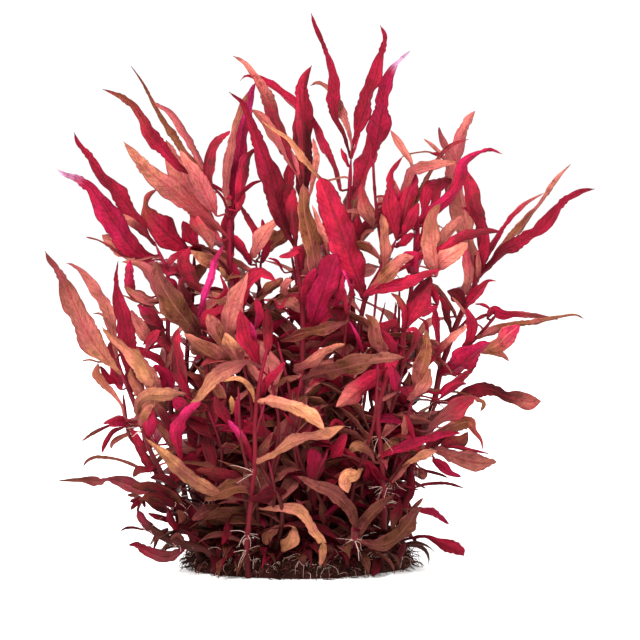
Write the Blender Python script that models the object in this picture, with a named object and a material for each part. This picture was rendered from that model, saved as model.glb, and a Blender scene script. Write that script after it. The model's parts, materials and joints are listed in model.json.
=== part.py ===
"""Alternanthera plant: a bushy clump of red stems and lance-shaped leaves on its root mat.

Metres, +Z up. The origin is on the floor, under the root mat. X runs to the right as the
clump is looked at from its front, and Y runs away from the viewer.
"""
import math

import bpy
import numpy as np

# The front of the clump is laid out as it is seen by someone who stands in front of it and
# looks slightly down: the distance of the eye, the slope of the look, and the height of the
# point of the middle plane that is looked at
VIEW_DISTANCE = 1.5
VIEW_SLOPE = math.radians(4.0)
VIEW_HEIGHT = 0.1245

# Clear gap between pieces that touch
GAP = 0.0003

# Root mat: half width, half depth, height and the centre of its outline
MAT_HALF_X = 0.0555
MAT_HALF_Y = 0.0390
MAT_HEIGHT = 0.0115
MAT_CENTRE_X = -0.0115
MAT_SEGMENTS = 28
# Share of the outline and share of the height at each turn of the mat's side
MAT_PROFILE = [(0.97, 0.0), (1.00, 0.22), (0.97, 0.55), (0.88, 0.80), (0.66, 0.94), (0.34, 1.0)]

STEM_SIDES = 6
STEM_RINGS = 11

BLADE_RINGS = 11
BLADE_THICKNESS = 0.0007
# How far the two halves of a blade rise from the midrib, as a share of the half width
BLADE_FOLD = 0.28
# Narrowest width of a blade, and its width at the tip
BLADE_LEAST = 0.0010
BLADE_TIP = 0.0010
STALK_CLEARANCE = 0.0011

# Leafy shoots at the back: each is one rod with crossed pairs of pointed leaves
SHOOT_SIDES = 8
SHOOT_FOOT_RADIUS = 0.0017
SHOOT_TOP_RADIUS = 0.0009
# Share of the rod that is bare below the first pair, and half the height of a leaf's root
SHOOT_BARE = 0.34
SHOOT_LEAF_ROOT = 0.0030
# How far a leaf's tip stands out from the rod and above its root
SHOOT_LEAF_OUT = 0.031
SHOOT_LEAF_UP = 0.026

# Stems, from the root mat up: the stem that they fork from, or None on the root mat, then
# the radius at the foot and at the tip, then points as the distance right of the middle,
# the height seen from the front and the distance behind the middle, all in millimetres
STEMS = {
    "stem_front_red": (None, 1.5, 0.9, [
        (-36, 3.5, -36), (-36.5, 11, -40), (-35.5, 23.5, -42), (-34, 38.5, -44), (-32.5, 52.5, -46),
        (-32.5, 68.5, -46), (-31.5, 83.5, -46), (-29, 98.5, -44), (-26, 111, -42)]),
    "stem_right_red": (None, 1.5, 0.9, [
        (31, 5.5, -20), (32, 23.5, -24), (32, 38.5, -26), (30.5, 56, -28), (29, 76, -28),
        (31, 87.5, -26), (35.5, 97, -20), (40, 106, -14), (42, 118.5, -10), (44.5, 132, -9),
        (46.5, 146, -8), (47.5, 158.5, -8), (47, 168.5, -8)]),
    "stem_right_main": (None, 1.9, 1.2, [
        (39.5, 5.5, 5), (41.5, 23.5, 6), (43.5, 38.5, 7), (46, 51, 8), (50, 62.5, 9),
        (55, 76, 9), (57.5, 84.5, 9), (59, 92.5, 9), (60.5, 99.5, 9), (64.5, 111, 9),
        (67.5, 119.5, 9), (72, 129.5, 9), (77, 139.5, 9), (77.5, 151, 10), (73.5, 169.5, 14),
        (69.5, 185, 18), (65.5, 200, 20)]),
    "stem_right_diagonal": (None, 1.6, 1.0, [
        (26, 5.5, 20), (30, 33.5, 23), (36, 63.5, 24), (44, 87.5, 24), (52.5, 100.5, 22),
        (58.5, 108.5, 21), (64, 114, 21), (70, 119.5, 21), (74, 124.5, 20)]),
    "stem_right_side_shoot": ("stem_right_main", 1.1, 0.8, [
        (60.5, 98.5, 9), (66, 103, 2), (71.5, 108.5, -2), (77.5, 114, -4), (83.5, 120.5, -5),
        (88, 126, -5)]),
    "stem_centre_tall": (None, 1.8, 1.0, [
        (1, 5.5, 10), (2.5, 33.5, 12), (7.5, 68.5, 15), (14, 93.5, 17), (17, 111, 17),
        (16.5, 128.5, 16), (15.5, 143.5, 14), (15, 161, 11), (14.5, 181, 8), (15, 193.5, 6),
        (15.5, 204.5, 5)]),
    "stem_centre_right": (None, 1.8, 1.1, [
        (12.5, 5.5, -5), (15, 33.5, -8), (17, 63.5, -9), (18, 88.5, -8), (18.5, 106, -6),
        (20, 121, -5), (22.5, 133.5, -5), (26.5, 142, -6), (31, 149.5, -8), (35, 157.5, -10),
        (38.5, 164.5, -12)]),
    "stem_centre_right_fork": ("stem_centre_right", 0.9, 0.7, [
        (30.5, 149, -8), (31, 158.5, -3), (29.5, 168.5, 0), (28, 181, 2), (27, 193.5, 4),
        (26.5, 204.5, 5)]),
    "stem_centre": (None, 1.8, 1.1, [
        (-11, 5.5, -10), (-10.5, 33.5, -12), (-10, 68.5, -13), (-9, 98.5, -13), (-8.5, 123.5, -11),
        (-10, 141, -8), (-11.5, 152.5, -6), (-12.5, 163.5, -4), (-9.5, 179.5, -2)]),
    "stem_left_centre": (None, 1.8, 1.2, [
        (-44, 5.5, 8), (-42, 33.5, 10), (-40, 68.5, 11), (-40, 98.5, 11), (-41.5, 118.5, 11),
        (-43, 138.5, 9), (-45, 156, 7), (-45, 175.5, 5)]),
    "stem_left_centre_fork": ("stem_left_centre", 0.8, 0.6, [
        (-45, 174, 5), (-48, 183.5, 1), (-53, 189.5, -2), (-57.5, 193.5, -4)]),
    "stem_centre_back": (None, 1.6, 1.0, [
        (-24, 5.5, 26), (-25, 33.5, 28), (-26, 68.5, 28), (-26, 98.5, 27), (-27, 118.5, 24),
        (-29, 133.5, 21), (-31, 143.5, 18), (-32, 152.5, 16)]),
    "stem_left_tall": (None, 1.7, 1.0, [
        (-52.5, 5.5, -12), (-53.5, 33.5, -14), (-54.5, 63.5, -15), (-56, 88.5, -15), (-57.5, 113.5, -13),
        (-58, 137.5, -10)]),
    "stem_left_back": (None, 1.6, 1.0, [
        (-57.5, 5.5, 20), (-61, 33.5, 24), (-65, 63.5, 26), (-67, 88.5, 27), (-66, 113.5, 26),
        (-64, 133.5, 24), (-63, 148.5, 22), (-63, 157.5, 20)]),
    "stem_left_upper": (None, 1.6, 1.0, [
        (-62, 5.5, 3), (-65, 23.5, 2), (-70, 48.5, 0), (-74, 73.5, -2), (-76, 98.5, -3),
        (-76, 123.5, -3), (-76, 138.5, -3), (-76.5, 148.5, -2), (-80, 156, 0), (-82.5, 162, 1)]),
    "stem_left_front": (None, 1.5, 1.0, [
        (-59.5, 5.5, -17), (-68, 23.5, -25), (-77.5, 43.5, -32), (-85, 58.5, -36), (-90, 73.5, -38),
        (-94.5, 86, -38), (-99.5, 97.5, -37), (-101.5, 104.5, -36)]),
    "stem_left_low": (None, 1.4, 0.8, [
        (-55.5, 5.5, 14), (-69, 23.5, 18), (-79.5, 39.5, 18), (-84, 52, 17), (-91, 60, 16),
        (-95.5, 66, 15), (-97, 74.5, 15), (-98.5, 86.5, 15)]),
    "stem_left_bent": (None, 1.5, 0.9, [
        (-49, 7, -26), (-57, 9, -29), (-65, 10.5, -31), (-74, 13, -32), (-82, 17.5, -32),
        (-88, 22.5, -32), (-91, 28, -31)]),
    "stem_front_short": (None, 1.4, 0.9, [
        (9, 3.5, -30), (12.5, 7.5, -38), (16, 11.5, -43), (18.5, 16, -46)]),
    "stem_lower_right": ("stem_right_red", 1.1, 0.8, [
        (32, 36.5, -26), (35.5, 43.5, -24), (39, 48.5, -23), (43, 52, -22), (47.5, 55, -21),
        (52.5, 57.5, -20), (57, 59, -20)]),
}

# Shoots at the back: the number of leaf pairs, then points like those of the stems
SHOOTS = {
    "shoot_back_left": (5, [
        (-35, 5.5, 30), (-42, 33.5, 44), (-49, 63.5, 56), (-53.5, 88.5, 62), (-56, 108.5, 65)]),
    "shoot_back_centre": (6, [
        (-15, 5.5, 32), (-12, 33.5, 48), (-8, 68.5, 62), (-4.5, 108.5, 70), (-2, 138.5, 75),
        (-0.5, 152.5, 77)]),
    "shoot_back_right": (5, [
        (9, 5.5, 28), (20, 33.5, 38), (31, 63.5, 47), (39, 88.5, 54), (43, 111, 58)]),
    "shoot_low_left": (4, [
        (-26, 5.5, 34), (-29, 23.5, 48), (-31, 43.5, 60), (-32, 57.5, 67)]),
    "shoot_low_right": (4, [
        (-3, 5.5, 34), (-1, 23.5, 50), (1, 43.5, 64), (2, 57.5, 72)]),
}

# Leaves: the stem that carries the leaf, how far its tip lies behind its foot and how far
# its middle bows back, both in millimetres, its turn about its own length in degrees, its
# finish, then points from foot to tip as the distance right of the middle, the height seen
# from the front and the width, all in millimetres
LEAVES = {
    "leaf_top_crest": ("stem_centre_tall", 22, 5, 20, "crimson", [
        (15, 205, 1.5), (13.5, 210.5, 1.5), (11.5, 217, 2.5), (8, 224.5, 3.5), (6.5, 233.5, 6),
        (7.5, 241.5, 6.5), (6.5, 248, 4), (3, 257.5, 2.5), (0.5, 264.5, 2.5), (-2.5, 271, 2), (-4.5, 277, 0.5)]),
    "leaf_top_right": ("stem_centre_tall", -24, -4, 15, "crimson", [
        (16, 205.5, 1.5), (16.5, 212.5, 1.5), (18.5, 221, 4), (22, 232.5, 6.5), (26.5, 242.5, 6.5),
        (29.5, 250.5, 5.5), (32, 259.5, 4), (32.5, 265.5, 2.5), (30, 271, 0.5)]),
    "leaf_pale_tip": ("stem_centre_right_fork", 28, 3, 10, "magenta", [
        (26.5, 204.5, 1.5), (27, 209.5, 4), (29, 217.5, 10), (30.5, 227.5, 12), (32.5, 237.5, 11),
        (35, 246, 7), (39.5, 253, 3.5), (45, 258, 1)]),
    "leaf_centre_upright": ("stem_centre", 24, 4, 12, "maroon", [
        (-9.5, 179.5, 2), (-8.5, 186, 5.5), (-8, 201, 10), (-8, 216, 11), (-8.5, 231, 10),
        (-8.5, 239.5, 7), (-7, 245.5, 4), (-4, 251, 1)]),
    "leaf_centre_long": ("stem_centre", -18, -6, 10, "crimson", [
        (-13, 160.5, 2), (-16.5, 167.5, 5), (-19.5, 176, 9), (-22.5, 186, 10), (-25, 196, 11),
        (-28.5, 206, 9), (-32, 214.5, 6), (-35, 223.5, 4), (-38.5, 231.5, 3), (-45.5, 237.5, 0.5)]),
    "leaf_left_upright": ("stem_left_centre", 24, 4, 20, "magenta", [
        (-45, 170.5, 2.5), (-44, 178.5, 6), (-43, 186, 6.5), (-41.5, 197.5, 6.5), (-40, 208.5, 7),
        (-38.5, 218.5, 7), (-36.5, 228.5, 6), (-34.5, 236.5, 4.5), (-32, 242.5, 1)]),
    "leaf_upper_left_thin": ("stem_left_centre_fork", 30, 2, 40, "maroon", [
        (-57.5, 193.5, 1), (-61.5, 199.5, 3), (-67, 207, 3.5), (-72, 214, 4), (-77.5, 222.5, 4.5),
        (-83, 231.5, 5), (-88, 241.5, 3.5), (-94.5, 250.5, 0.5)]),
    "leaf_upper_left": ("stem_left_centre_fork", -22, -3, 15, "crimson", [
        (-58, 193, 1), (-65, 196.5, 2), (-71, 200.5, 4.5), (-76, 206, 7.5), (-81, 212, 9),
        (-85.5, 218, 8), (-89.5, 225, 6), (-93.5, 231, 4), (-100, 235.5, 3.5), (-109, 239, 0.5)]),
    "leaf_left_salmon": ("stem_left_centre", -26, -4, 12, "salmon", [
        (-46, 163.5, 1.5), (-54, 172.5, 4.5), (-61, 178.5, 9), (-68, 184, 11), (-75, 189.5, 12),
        (-81.5, 194.5, 10), (-87.5, 200, 7.5), (-93, 206.5, 5), (-98.5, 213, 0.5)]),
    "leaf_left_crimson": ("stem_left_upper", 16, 4, 12, "crimson", [
        (-82.5, 162, 2), (-86.5, 166.5, 6), (-91, 173.5, 9), (-96.5, 181, 10), (-102, 187.5, 10),
        (-107, 193.5, 8), (-111.5, 199.5, 5.5), (-116, 205.5, 4.5), (-120.5, 211.5, 3.5), (-123, 217.5, 0.5)]),
    "leaf_left_lilac_tip": ("stem_left_upper", -24, -4, 10, "magenta", [
        (-80, 155.5, 1.5), (-87, 154.5, 2.5), (-92, 157.5, 5), (-96.5, 162.5, 9), (-101, 169, 12),
        (-106, 176.5, 12), (-110.5, 183.5, 10), (-114, 188.5, 7), (-118, 192, 5), (-123, 195, 3.5),
        (-128, 196.5, 2), (-131.5, 199, 0.5)]),
    "leaf_far_left": ("stem_left_front", -18, -4, 8, "salmon", [
        (-99, 95.5, 1.5), (-102.5, 99, 3.5), (-108, 105, 8.5), (-113.5, 112.5, 12), (-117.5, 118.5, 13.5),
        (-120.5, 125.5, 12.5), (-123.5, 132.5, 10.5), (-127, 140.5, 8), (-131.5, 148.5, 5), (-135, 153.5, 3),
        (-137.5, 158, 0.5)]),
    "leaf_left_curled": ("stem_left_front", 24, 8, 15, "salmon", [
        (-101.5, 104.5, 1.5), (-102.5, 110.5, 3.5), (-103.5, 116.5, 5), (-105, 124.5, 7), (-107.5, 131.5, 7.5),
        (-111.5, 138, 7), (-115.5, 143.5, 5.5), (-119.5, 148, 3.5), (-123.5, 151, 2), (-127, 152, 0.5)]),
    "leaf_left_bright": ("stem_left_front", -18, -6, 10, "crimson", [
        (-94.5, 86.5, 2), (-95, 96, 5), (-96, 107.5, 8), (-97, 117.5, 8.5), (-98.5, 126, 8),
        (-100.5, 132.5, 6), (-101.5, 138.5, 3), (-102, 145, 2), (-101, 153, 0.5)]),
    "leaf_left_olive": ("stem_left_tall", -22, -8, 10, "olive", [
        (-57.5, 111, 2), (-62.5, 117, 8), (-68, 124.5, 11), (-73, 131, 12), (-77, 137.5, 10),
        (-80, 143.5, 7), (-81.5, 149.5, 3.5), (-81.5, 153.5, 0.5)]),
    "leaf_centre_broad": ("stem_centre_right", -24, -6, 10, "crimson", [
        (22.5, 133.5, 2), (19, 143.5, 9), (16, 151.5, 13), (12.5, 161, 15), (9, 171, 14),
        (6, 179.5, 12), (3, 187, 10), (1, 192.5, 6), (0, 195.5, 1)]),
    "leaf_centre_magenta": ("stem_centre", -26, -5, 8, "magenta", [
        (-8.5, 116.5, 1.5), (-4, 122.5, 7), (-1, 130.5, 11), (1.5, 138.5, 12), (4, 146, 12),
        (6, 152, 9), (8.5, 156.5, 1.5)]),
    "leaf_front_long": ("stem_centre", -46, -10, 20, "olive", [
        (-9, 94, 2), (-1, 96.5, 7), (7.5, 98.5, 9), (16, 100.5, 9), (24, 102.5, 8),
        (31.5, 104, 6), (37.5, 104.5, 3.5), (42.5, 105, 0.5)]),
    "leaf_front_gold": ("stem_front_red", -24, -6, 15, "gold", [
        (-31.5, 82.5, 2), (-25, 82.5, 5), (-19, 81.5, 6.5), (-12.5, 80, 7), (-7, 77, 7),
        (-2.5, 73, 6), (2.5, 68.5, 0.5)]),
    "leaf_front_orange": ("stem_front_red", -20, -5, 15, "gold", [
        (-32.5, 52, 2.5), (-26, 55, 3.5), (-21, 58, 3.5), (-15, 61.5, 5.5), (-8.5, 64, 7),
        (-1, 66, 7), (6, 68, 4.5), (12.5, 70.5, 0.5)]),
    "leaf_front_arched": ("stem_front_red", -20, -8, 15, "salmon", [
        (-29, 99.5, 1.5), (-36, 102.5, 2.5), (-42.5, 100.5, 6), (-49, 97.5, 7.5), (-54.5, 93.5, 7),
        (-58, 88.5, 5.5), (-61, 84.5, 3), (-65, 82, 0.5)]),
    "leaf_left_folded": ("stem_left_front", -16, -8, 12, "gold", [
        (-90, 73, 1.5), (-91.5, 78, 3), (-90, 83, 4.5), (-86, 85.5, 7), (-80, 86, 7),
        (-73.5, 86.5, 4.5), (-66.5, 86.5, 0.5)]),
    "leaf_low_left_orange": ("stem_front_red", -12, -6, 12, "salmon", [
        (-34.5, 33, 1.5), (-41, 34, 2), (-47, 35.5, 4.5), (-54, 38, 7), (-61.5, 42, 9),
        (-68.5, 47.5, 9.5), (-75, 53, 8.5), (-81, 59, 4.5), (-87.5, 64.5, 0.5)]),
    "leaf_low_left_long": ("stem_left_low", -6, 0, 15, "crimson", [
        (-79.5, 38.5, 2), (-85, 39, 6), (-91.5, 40, 7), (-97.5, 42, 6), (-103, 43.5, 4),
        (-106.5, 44, 2), (-110, 43, 4.5), (-115, 43.5, 4.5), (-120, 43.5, 2), (-125, 43.5, 2), (-131.5, 43, 0.5)]),
    "leaf_ground_left": ("stem_left_bent", -16, -5, 10, "crimson", [
        (-67, 10.5, 1.5), (-71.5, 7, 4), (-77.5, 5, 6.5), (-83, 6.5, 5.5), (-87.5, 9, 4.5),
        (-91.5, 11, 3), (-96, 11, 0.5)]),
    "leaf_low_right_brown": ("stem_front_short", -14, -6, 12, "olive", [
        (18, 13.5, 2), (25, 11.5, 4.5), (32.5, 11.5, 6.5), (39, 15.5, 7.5), (44, 21.5, 7.5),
        (47.5, 26.5, 4.5), (51, 30.5, 0.5)]),
    "leaf_low_right_wavy": ("stem_right_main", -16, -4, 12, "crimson", [
        (40.5, 13, 1), (47, 14.5, 1.5), (53, 15, 2.5), (58, 13, 4.5), (63, 11, 5.5),
        (67.5, 9, 6), (70.5, 7, 4), (72, 5.5, 1.5)]),
    "leaf_right_blunt": ("stem_lower_right", -12, -4, 12, "salmon", [
        (57, 58.5, 2.5), (63.5, 56.5, 6.5), (70, 54, 9), (76, 52.5, 9), (82, 52, 6),
        (86, 52.5, 4), (88.5, 52.5, 1.5)]),
    "leaf_right_wavy": ("stem_right_main", -14, -4, 10, "maroon", [
        (58, 82, 1.5), (64.5, 83, 3.5), (71, 85, 5.5), (77, 87.5, 6.5), (82.5, 89, 6.5),
        (87, 88.5, 6), (92.5, 85.5, 6), (99, 84, 7), (105, 82.5, 7), (110.5, 83, 2.5)]),
    "leaf_right_magenta": ("stem_right_main", -40, -8, 20, "magenta", [
        (60, 96, 3), (65.5, 98, 8), (70.5, 101.5, 12), (74.5, 105.5, 11), (78.5, 108.5, 7.5),
        (82, 111, 4.5), (85, 112.5, 1)]),
    "leaf_far_right_low": ("stem_right_side_shoot", -14, -7, 20, "olive", [
        (77.5, 114, 1.5), (82.5, 116, 3), (88, 118.5, 5), (94, 120.5, 4.5), (100, 121.5, 3),
        (106, 122, 3), (112.5, 123.5, 2.5), (120, 125, 2), (127.5, 126, 1), (132, 124, 0.5)]),
    "leaf_far_right_high": ("stem_right_main", -22, -4, 12, "crimson", [
        (78, 143, 1.5), (83, 148.5, 3), (87, 152.5, 4), (91.5, 158, 6), (97, 161, 6.5),
        (103, 164.5, 6), (108.5, 167.5, 6), (112.5, 171.5, 6.5), (117, 177, 5), (122.5, 183, 4),
        (129, 187, 3), (133, 188.5, 2), (137.5, 189, 0.5)]),
    "leaf_right_thin": ("stem_right_main", 26, 2, 45, "olive", [
        (78, 147, 1), (85, 152.5, 1.5), (90.5, 159.5, 2.5), (96, 165, 4), (99.5, 168.5, 4.5),
        (103.5, 174, 3), (108.5, 179.5, 2.5), (113.5, 186.5, 2.5), (119, 194.5, 2), (125.5, 201.5, 0.5)]),
    "leaf_upper_right_bent": ("stem_right_red", -22, -5, 15, "magenta", [
        (47, 168.5, 1.5), (53, 175.5, 4.5), (59, 180, 5), (64.5, 184.5, 6), (68.5, 189.5, 6.5),
        (70.5, 196, 5.5), (71.5, 201.5, 4.5), (75.5, 205, 3.5), (80.5, 207.5, 2.5), (85.5, 208.5, 2),
        (91, 206.5, 0.5)]),
}

# Colour and roughness of each finish
FINISHES = {
    "crimson": ((0.33, 0.015, 0.040, 1.0), 0.42),
    "magenta": ((0.42, 0.020, 0.110, 1.0), 0.42),
    "salmon": ((0.60, 0.130, 0.085, 1.0), 0.46),
    "gold": ((0.68, 0.260, 0.100, 1.0), 0.46),
    "olive": ((0.24, 0.085, 0.040, 1.0), 0.50),
    "maroon": ((0.15, 0.010, 0.022, 1.0), 0.48),
    "stem": ((0.20, 0.018, 0.035, 1.0), 0.45),
    "root": ((0.060, 0.028, 0.020, 1.0), 0.85),
}


def clear_scene():
    """Remove every object that the new file starts with."""
    for thing in list(bpy.data.objects):
        bpy.data.objects.remove(thing, do_unlink=True)


def make_finish(name):
    """Principled material with the colour and roughness of one finish."""
    colour, roughness = FINISHES[name]
    finish = bpy.data.materials.new(name)
    finish.use_nodes = True
    shader = finish.node_tree.nodes["Principled BSDF"]
    shader.inputs["Base Color"].default_value = colour
    shader.inputs["Roughness"].default_value = roughness
    shader.inputs["Metallic"].default_value = 0.0
    finish.diffuse_color = colour
    return finish


def front_point(right, up, back):
    """World point that is seen so far right of the middle and so far above the floor's
    middle, and that lies so far behind the middle plane. The line from the eye through the
    seen place is followed to that depth. Millimetres in, metres out.
    """
    sine, cosine = math.sin(VIEW_SLOPE), math.cos(VIEW_SLOPE)
    floor = VIEW_DISTANCE * VIEW_HEIGHT * cosine / (VIEW_DISTANCE + VIEW_HEIGHT * sine)
    seen_up = up * 0.001 - floor
    y = back * 0.001
    rise = (seen_up * (VIEW_DISTANCE + y * cosine) - VIEW_DISTANCE * y * sine)
    rise /= VIEW_DISTANCE * cosine + seen_up * sine
    away = VIEW_DISTANCE + y * cosine - rise * sine
    return np.array([right * 0.001 * away / VIEW_DISTANCE, y, VIEW_HEIGHT + rise])


def smooth_path(points, count):
    """Points at equal steps along a smooth (Catmull-Rom) curve through the given rows."""
    points = np.asarray(points, dtype=float)
    ends = np.vstack([2 * points[0] - points[1], points, 2 * points[-1] - points[-2]])
    fine = []
    for i in range(1, len(ends) - 2):
        a, b, c, d = ends[i - 1], ends[i], ends[i + 1], ends[i + 2]
        t = np.linspace(0.0, 1.0, 24, endpoint=False)[:, None]
        fine.append(0.5 * (2 * b + (c - a) * t + (2 * a - 5 * b + 4 * c - d) * t ** 2
                           + (3 * b - a - 3 * c + d) * t ** 3))
    fine = np.vstack(fine + [points[-1:]])
    walked = np.concatenate([[0.0], np.cumsum(np.linalg.norm(np.diff(fine[:, :3], axis=0), axis=1))])
    marks = np.linspace(0.0, walked[-1], count)
    return np.stack([np.interp(marks, walked, fine[:, k]) for k in range(fine.shape[1])], axis=1)


def path_directions(path):
    """Unit direction of the path at each of its points."""
    along = np.gradient(path[:, :3], axis=0)
    return along / np.linalg.norm(along, axis=1)[:, None]


def mat_outline(angle):
    """Radius factor of the root mat's uneven outline at an angle."""
    return 1.0 + 0.035 * math.sin(3 * angle + 0.6) + 0.025 * math.sin(5 * angle + 2.1)


def mat_height(x, y):
    """Height of the root mat's top over a floor point."""
    u = (x - MAT_CENTRE_X) / MAT_HALF_X
    v = y / MAT_HALF_Y
    reach = math.hypot(u, v) / mat_outline(math.atan2(v, u))
    shares = [share for share, _ in reversed(MAT_PROFILE)][:-1]
    heights = [height for _, height in reversed(MAT_PROFILE)][:-1]
    return MAT_HEIGHT * float(np.interp(reach, [0.0] + shares, [1.0] + heights))


def foot_height(place, radius):
    """Height at which a round foot clears the root mat's top all the way round."""
    angles = [2 * math.pi * k / 12 for k in range(12)]
    around = [mat_height(place[0] + 1.3 * radius * math.cos(angle),
                         place[1] + 1.3 * radius * math.sin(angle)) for angle in angles]
    return max(around + [mat_height(place[0], place[1])]) + GAP


def add_solid(name, vertices, faces, finish):
    """Make a named object from points and faces."""
    mesh = bpy.data.meshes.new(name)
    mesh.from_pydata([tuple(point) for point in vertices], [], faces)
    mesh.update()
    mesh.materials.append(finish)
    solid = bpy.data.objects.new(name, mesh)
    bpy.context.scene.collection.objects.link(solid)
    return solid


def skin_rings(ring_points, sides):
    """Faces of a closed tube over rings of points, with a flat cap on each end."""
    rings = len(ring_points) // sides
    faces = []
    for i in range(rings - 1):
        for k in range(sides):
            low, high = i * sides, (i + 1) * sides
            after = (k + 1) % sides
            faces.append((low + k, low + after, high + after, high + k))
    faces.append(tuple(reversed(range(sides))))
    faces.append(tuple(range((rings - 1) * sides, rings * sides)))
    return faces


def make_root_mat(finish):
    """Low, flat-bottomed cushion of roots with an uneven outline."""
    points = []
    for share, height in MAT_PROFILE:
        for k in range(MAT_SEGMENTS):
            angle = 2 * math.pi * k / MAT_SEGMENTS
            reach = share * mat_outline(angle)
            points.append((MAT_CENTRE_X + MAT_HALF_X * reach * math.cos(angle),
                           MAT_HALF_Y * reach * math.sin(angle), MAT_HEIGHT * height))
    solid = add_solid("root_mat", points, skin_rings(points, MAT_SEGMENTS), finish)
    solid.data.shade_smooth()
    return solid


def stem_path(name):
    """Centre line of a stem, and its radius at each point, in metres."""
    parent, foot_radius, tip_radius, rows = STEMS[name]
    points = [front_point(*row) for row in rows]
    if parent is None:
        points[0][2] = foot_height(points[0], foot_radius * 0.001)
    path = smooth_path(points, 240)
    if parent is not None:
        carrier, radii = stem_path(parent)
        path = clear_of(path, carrier, float(radii.mean()) + foot_radius * 0.001 + GAP)
    radius = np.linspace(foot_radius, tip_radius, len(path)) * 0.001
    return path, radius


def clear_of(path, carrier, distance):
    """The part of a path that starts once it is the given distance from its carrier."""
    offsets = np.linalg.norm(path[:60, None, :3] - carrier[None, :, :3], axis=2).min(axis=1)
    inside = np.flatnonzero(offsets < distance)
    return path[inside[-1] + 1:] if len(inside) else path


def make_stem(name, finish):
    """Tapered six-sided rod along the stem's centre line."""
    path, radius = stem_path(name)
    keep = np.linspace(0, len(path) - 1, STEM_RINGS).round().astype(int)
    along = path_directions(path)[keep]
    centres, radii = path[keep], radius[keep]
    if STEMS[name][0] is None:
        along[0] = (0.0, 0.0, 1.0)
    side = np.cross(along, (0.0, 1.0, 0.0))
    side /= np.linalg.norm(side, axis=1)[:, None]
    up = np.cross(side, along)
    points = []
    for i in range(STEM_RINGS):
        for k in range(STEM_SIDES):
            angle = 2 * math.pi * k / STEM_SIDES
            points.append(centres[i] + radii[i] * (math.cos(angle) * side[i] - math.sin(angle) * up[i]))
    solid = add_solid(name, points, skin_rings(points, STEM_SIDES), finish)
    solid.data.shade_smooth()
    return solid


def leaf_path(name):
    """Centre line and width of a leaf, from clear of its stem to its tip, in metres."""
    carrier_name, tip_back, bow_back, _, _, rows = LEAVES[name]
    carrier, radii = stem_path(carrier_name)
    flat = smooth_path(rows, 200)
    share = np.linspace(0.0, 1.0, len(flat))
    foot = front_point(rows[0][0], rows[0][1], 0.0)
    nearest = int(np.argmin(np.hypot(carrier[:, 0] - foot[0], carrier[:, 2] - foot[2])))
    for _ in range(2):
        foot = front_point(rows[0][0], rows[0][1], carrier[nearest, 1] * 1000.0)
        nearest = int(np.argmin(np.hypot(carrier[:, 0] - foot[0], carrier[:, 2] - foot[2])))
    depth = carrier[nearest, 1] * 1000.0 + tip_back * share + bow_back * np.sin(math.pi * share)
    path = np.stack([front_point(c, r, d) for (c, r, _), d in zip(flat, depth)])
    path += (carrier[nearest] - path[0]) * np.clip(1.0 - share / 0.25, 0.0, 1.0)[:, None]
    path = np.column_stack([path, flat[:, 2] * 0.001])
    return clear_of(path, carrier, radii[nearest] + STALK_CLEARANCE + GAP)


def make_leaf(name, finish):
    """Closed blade with a ridged middle and thin edges that rise from it."""
    path = leaf_path(name)
    turn = math.radians(LEAVES[name][3])
    keep = np.linspace(0, len(path) - 1, BLADE_RINGS).round().astype(int)
    along = path_directions(path)[keep]
    centres = path[keep, :3]
    half = np.maximum(path[keep, 3], BLADE_LEAST) / (2 * math.cos(turn))
    half[-1] = BLADE_TIP / 2
    flat_side = np.cross(along, (0.0, 1.0, 0.0))
    flat_side /= np.linalg.norm(flat_side, axis=1)[:, None]
    side = math.cos(turn) * flat_side + math.sin(turn) * np.cross(along, flat_side)
    face = np.cross(side, along)
    points = []
    for i in range(BLADE_RINGS):
        thick = 0.5 * BLADE_THICKNESS * face[i]
        rise = BLADE_FOLD * half[i] * face[i]
        points += [centres[i] + half[i] * side[i] + rise, centres[i] - thick,
                   centres[i] - half[i] * side[i] + rise, centres[i] + thick]
    return add_solid(name, points, skin_rings(points, 4), finish)


def make_shoot(name, finish):
    """Rod with crossed pairs of pointed leaves, all in one skin. The skin's rings are round,
    and the middle ring of each pair has two of its points drawn out to the leaves' tips.
    """
    pairs, rows = SHOOTS[name]
    points = [front_point(*row) for row in rows]
    points[0][2] = foot_height(points[0], SHOOT_FOOT_RADIUS)
    path = smooth_path(points, 400)
    length = float(np.linalg.norm(np.diff(path, axis=0), axis=1).sum())
    root = SHOOT_LEAF_ROOT / length
    rings = [(0.0, None)]
    for pair in range(pairs):
        middle = SHOOT_BARE + (0.97 - SHOOT_BARE) * pair / (pairs - 1) - root
        rings += [(middle - root, None), (middle, pair % 2), (middle + root, None)]
    rings.append((1.0, None))
    along = path_directions(path)
    along[0] = (0.0, 0.0, 1.0)
    points = []
    for share, pair in rings:
        i = round(share * (len(path) - 1))
        radius = SHOOT_FOOT_RADIUS + (SHOOT_TOP_RADIUS - SHOOT_FOOT_RADIUS) * share
        side = np.cross(along[i], (0.0, 1.0, 0.0))
        side /= np.linalg.norm(side)
        up = np.cross(side, along[i])
        for k in range(SHOOT_SIDES):
            angle = 2 * math.pi * k / SHOOT_SIDES
            out = math.cos(angle) * side - math.sin(angle) * up
            is_tip = pair is not None and k % 4 == 2 * pair
            reach = out * SHOOT_LEAF_OUT + along[i] * SHOOT_LEAF_UP if is_tip else out * radius
            points.append(path[i] + reach)
    return add_solid(name, points, skin_rings(points, SHOOT_SIDES), finish)


def main():
    """Build every piece of the clump."""
    clear_scene()
    finishes = {name: make_finish(name) for name in FINISHES}
    make_root_mat(finishes["root"])
    for name in STEMS:
        make_stem(name, finishes["stem"])
    for name in SHOOTS:
        make_shoot(name, finishes["crimson"])
    for name, row in LEAVES.items():
        make_leaf(name, finishes[row[4]])


main()
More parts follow.
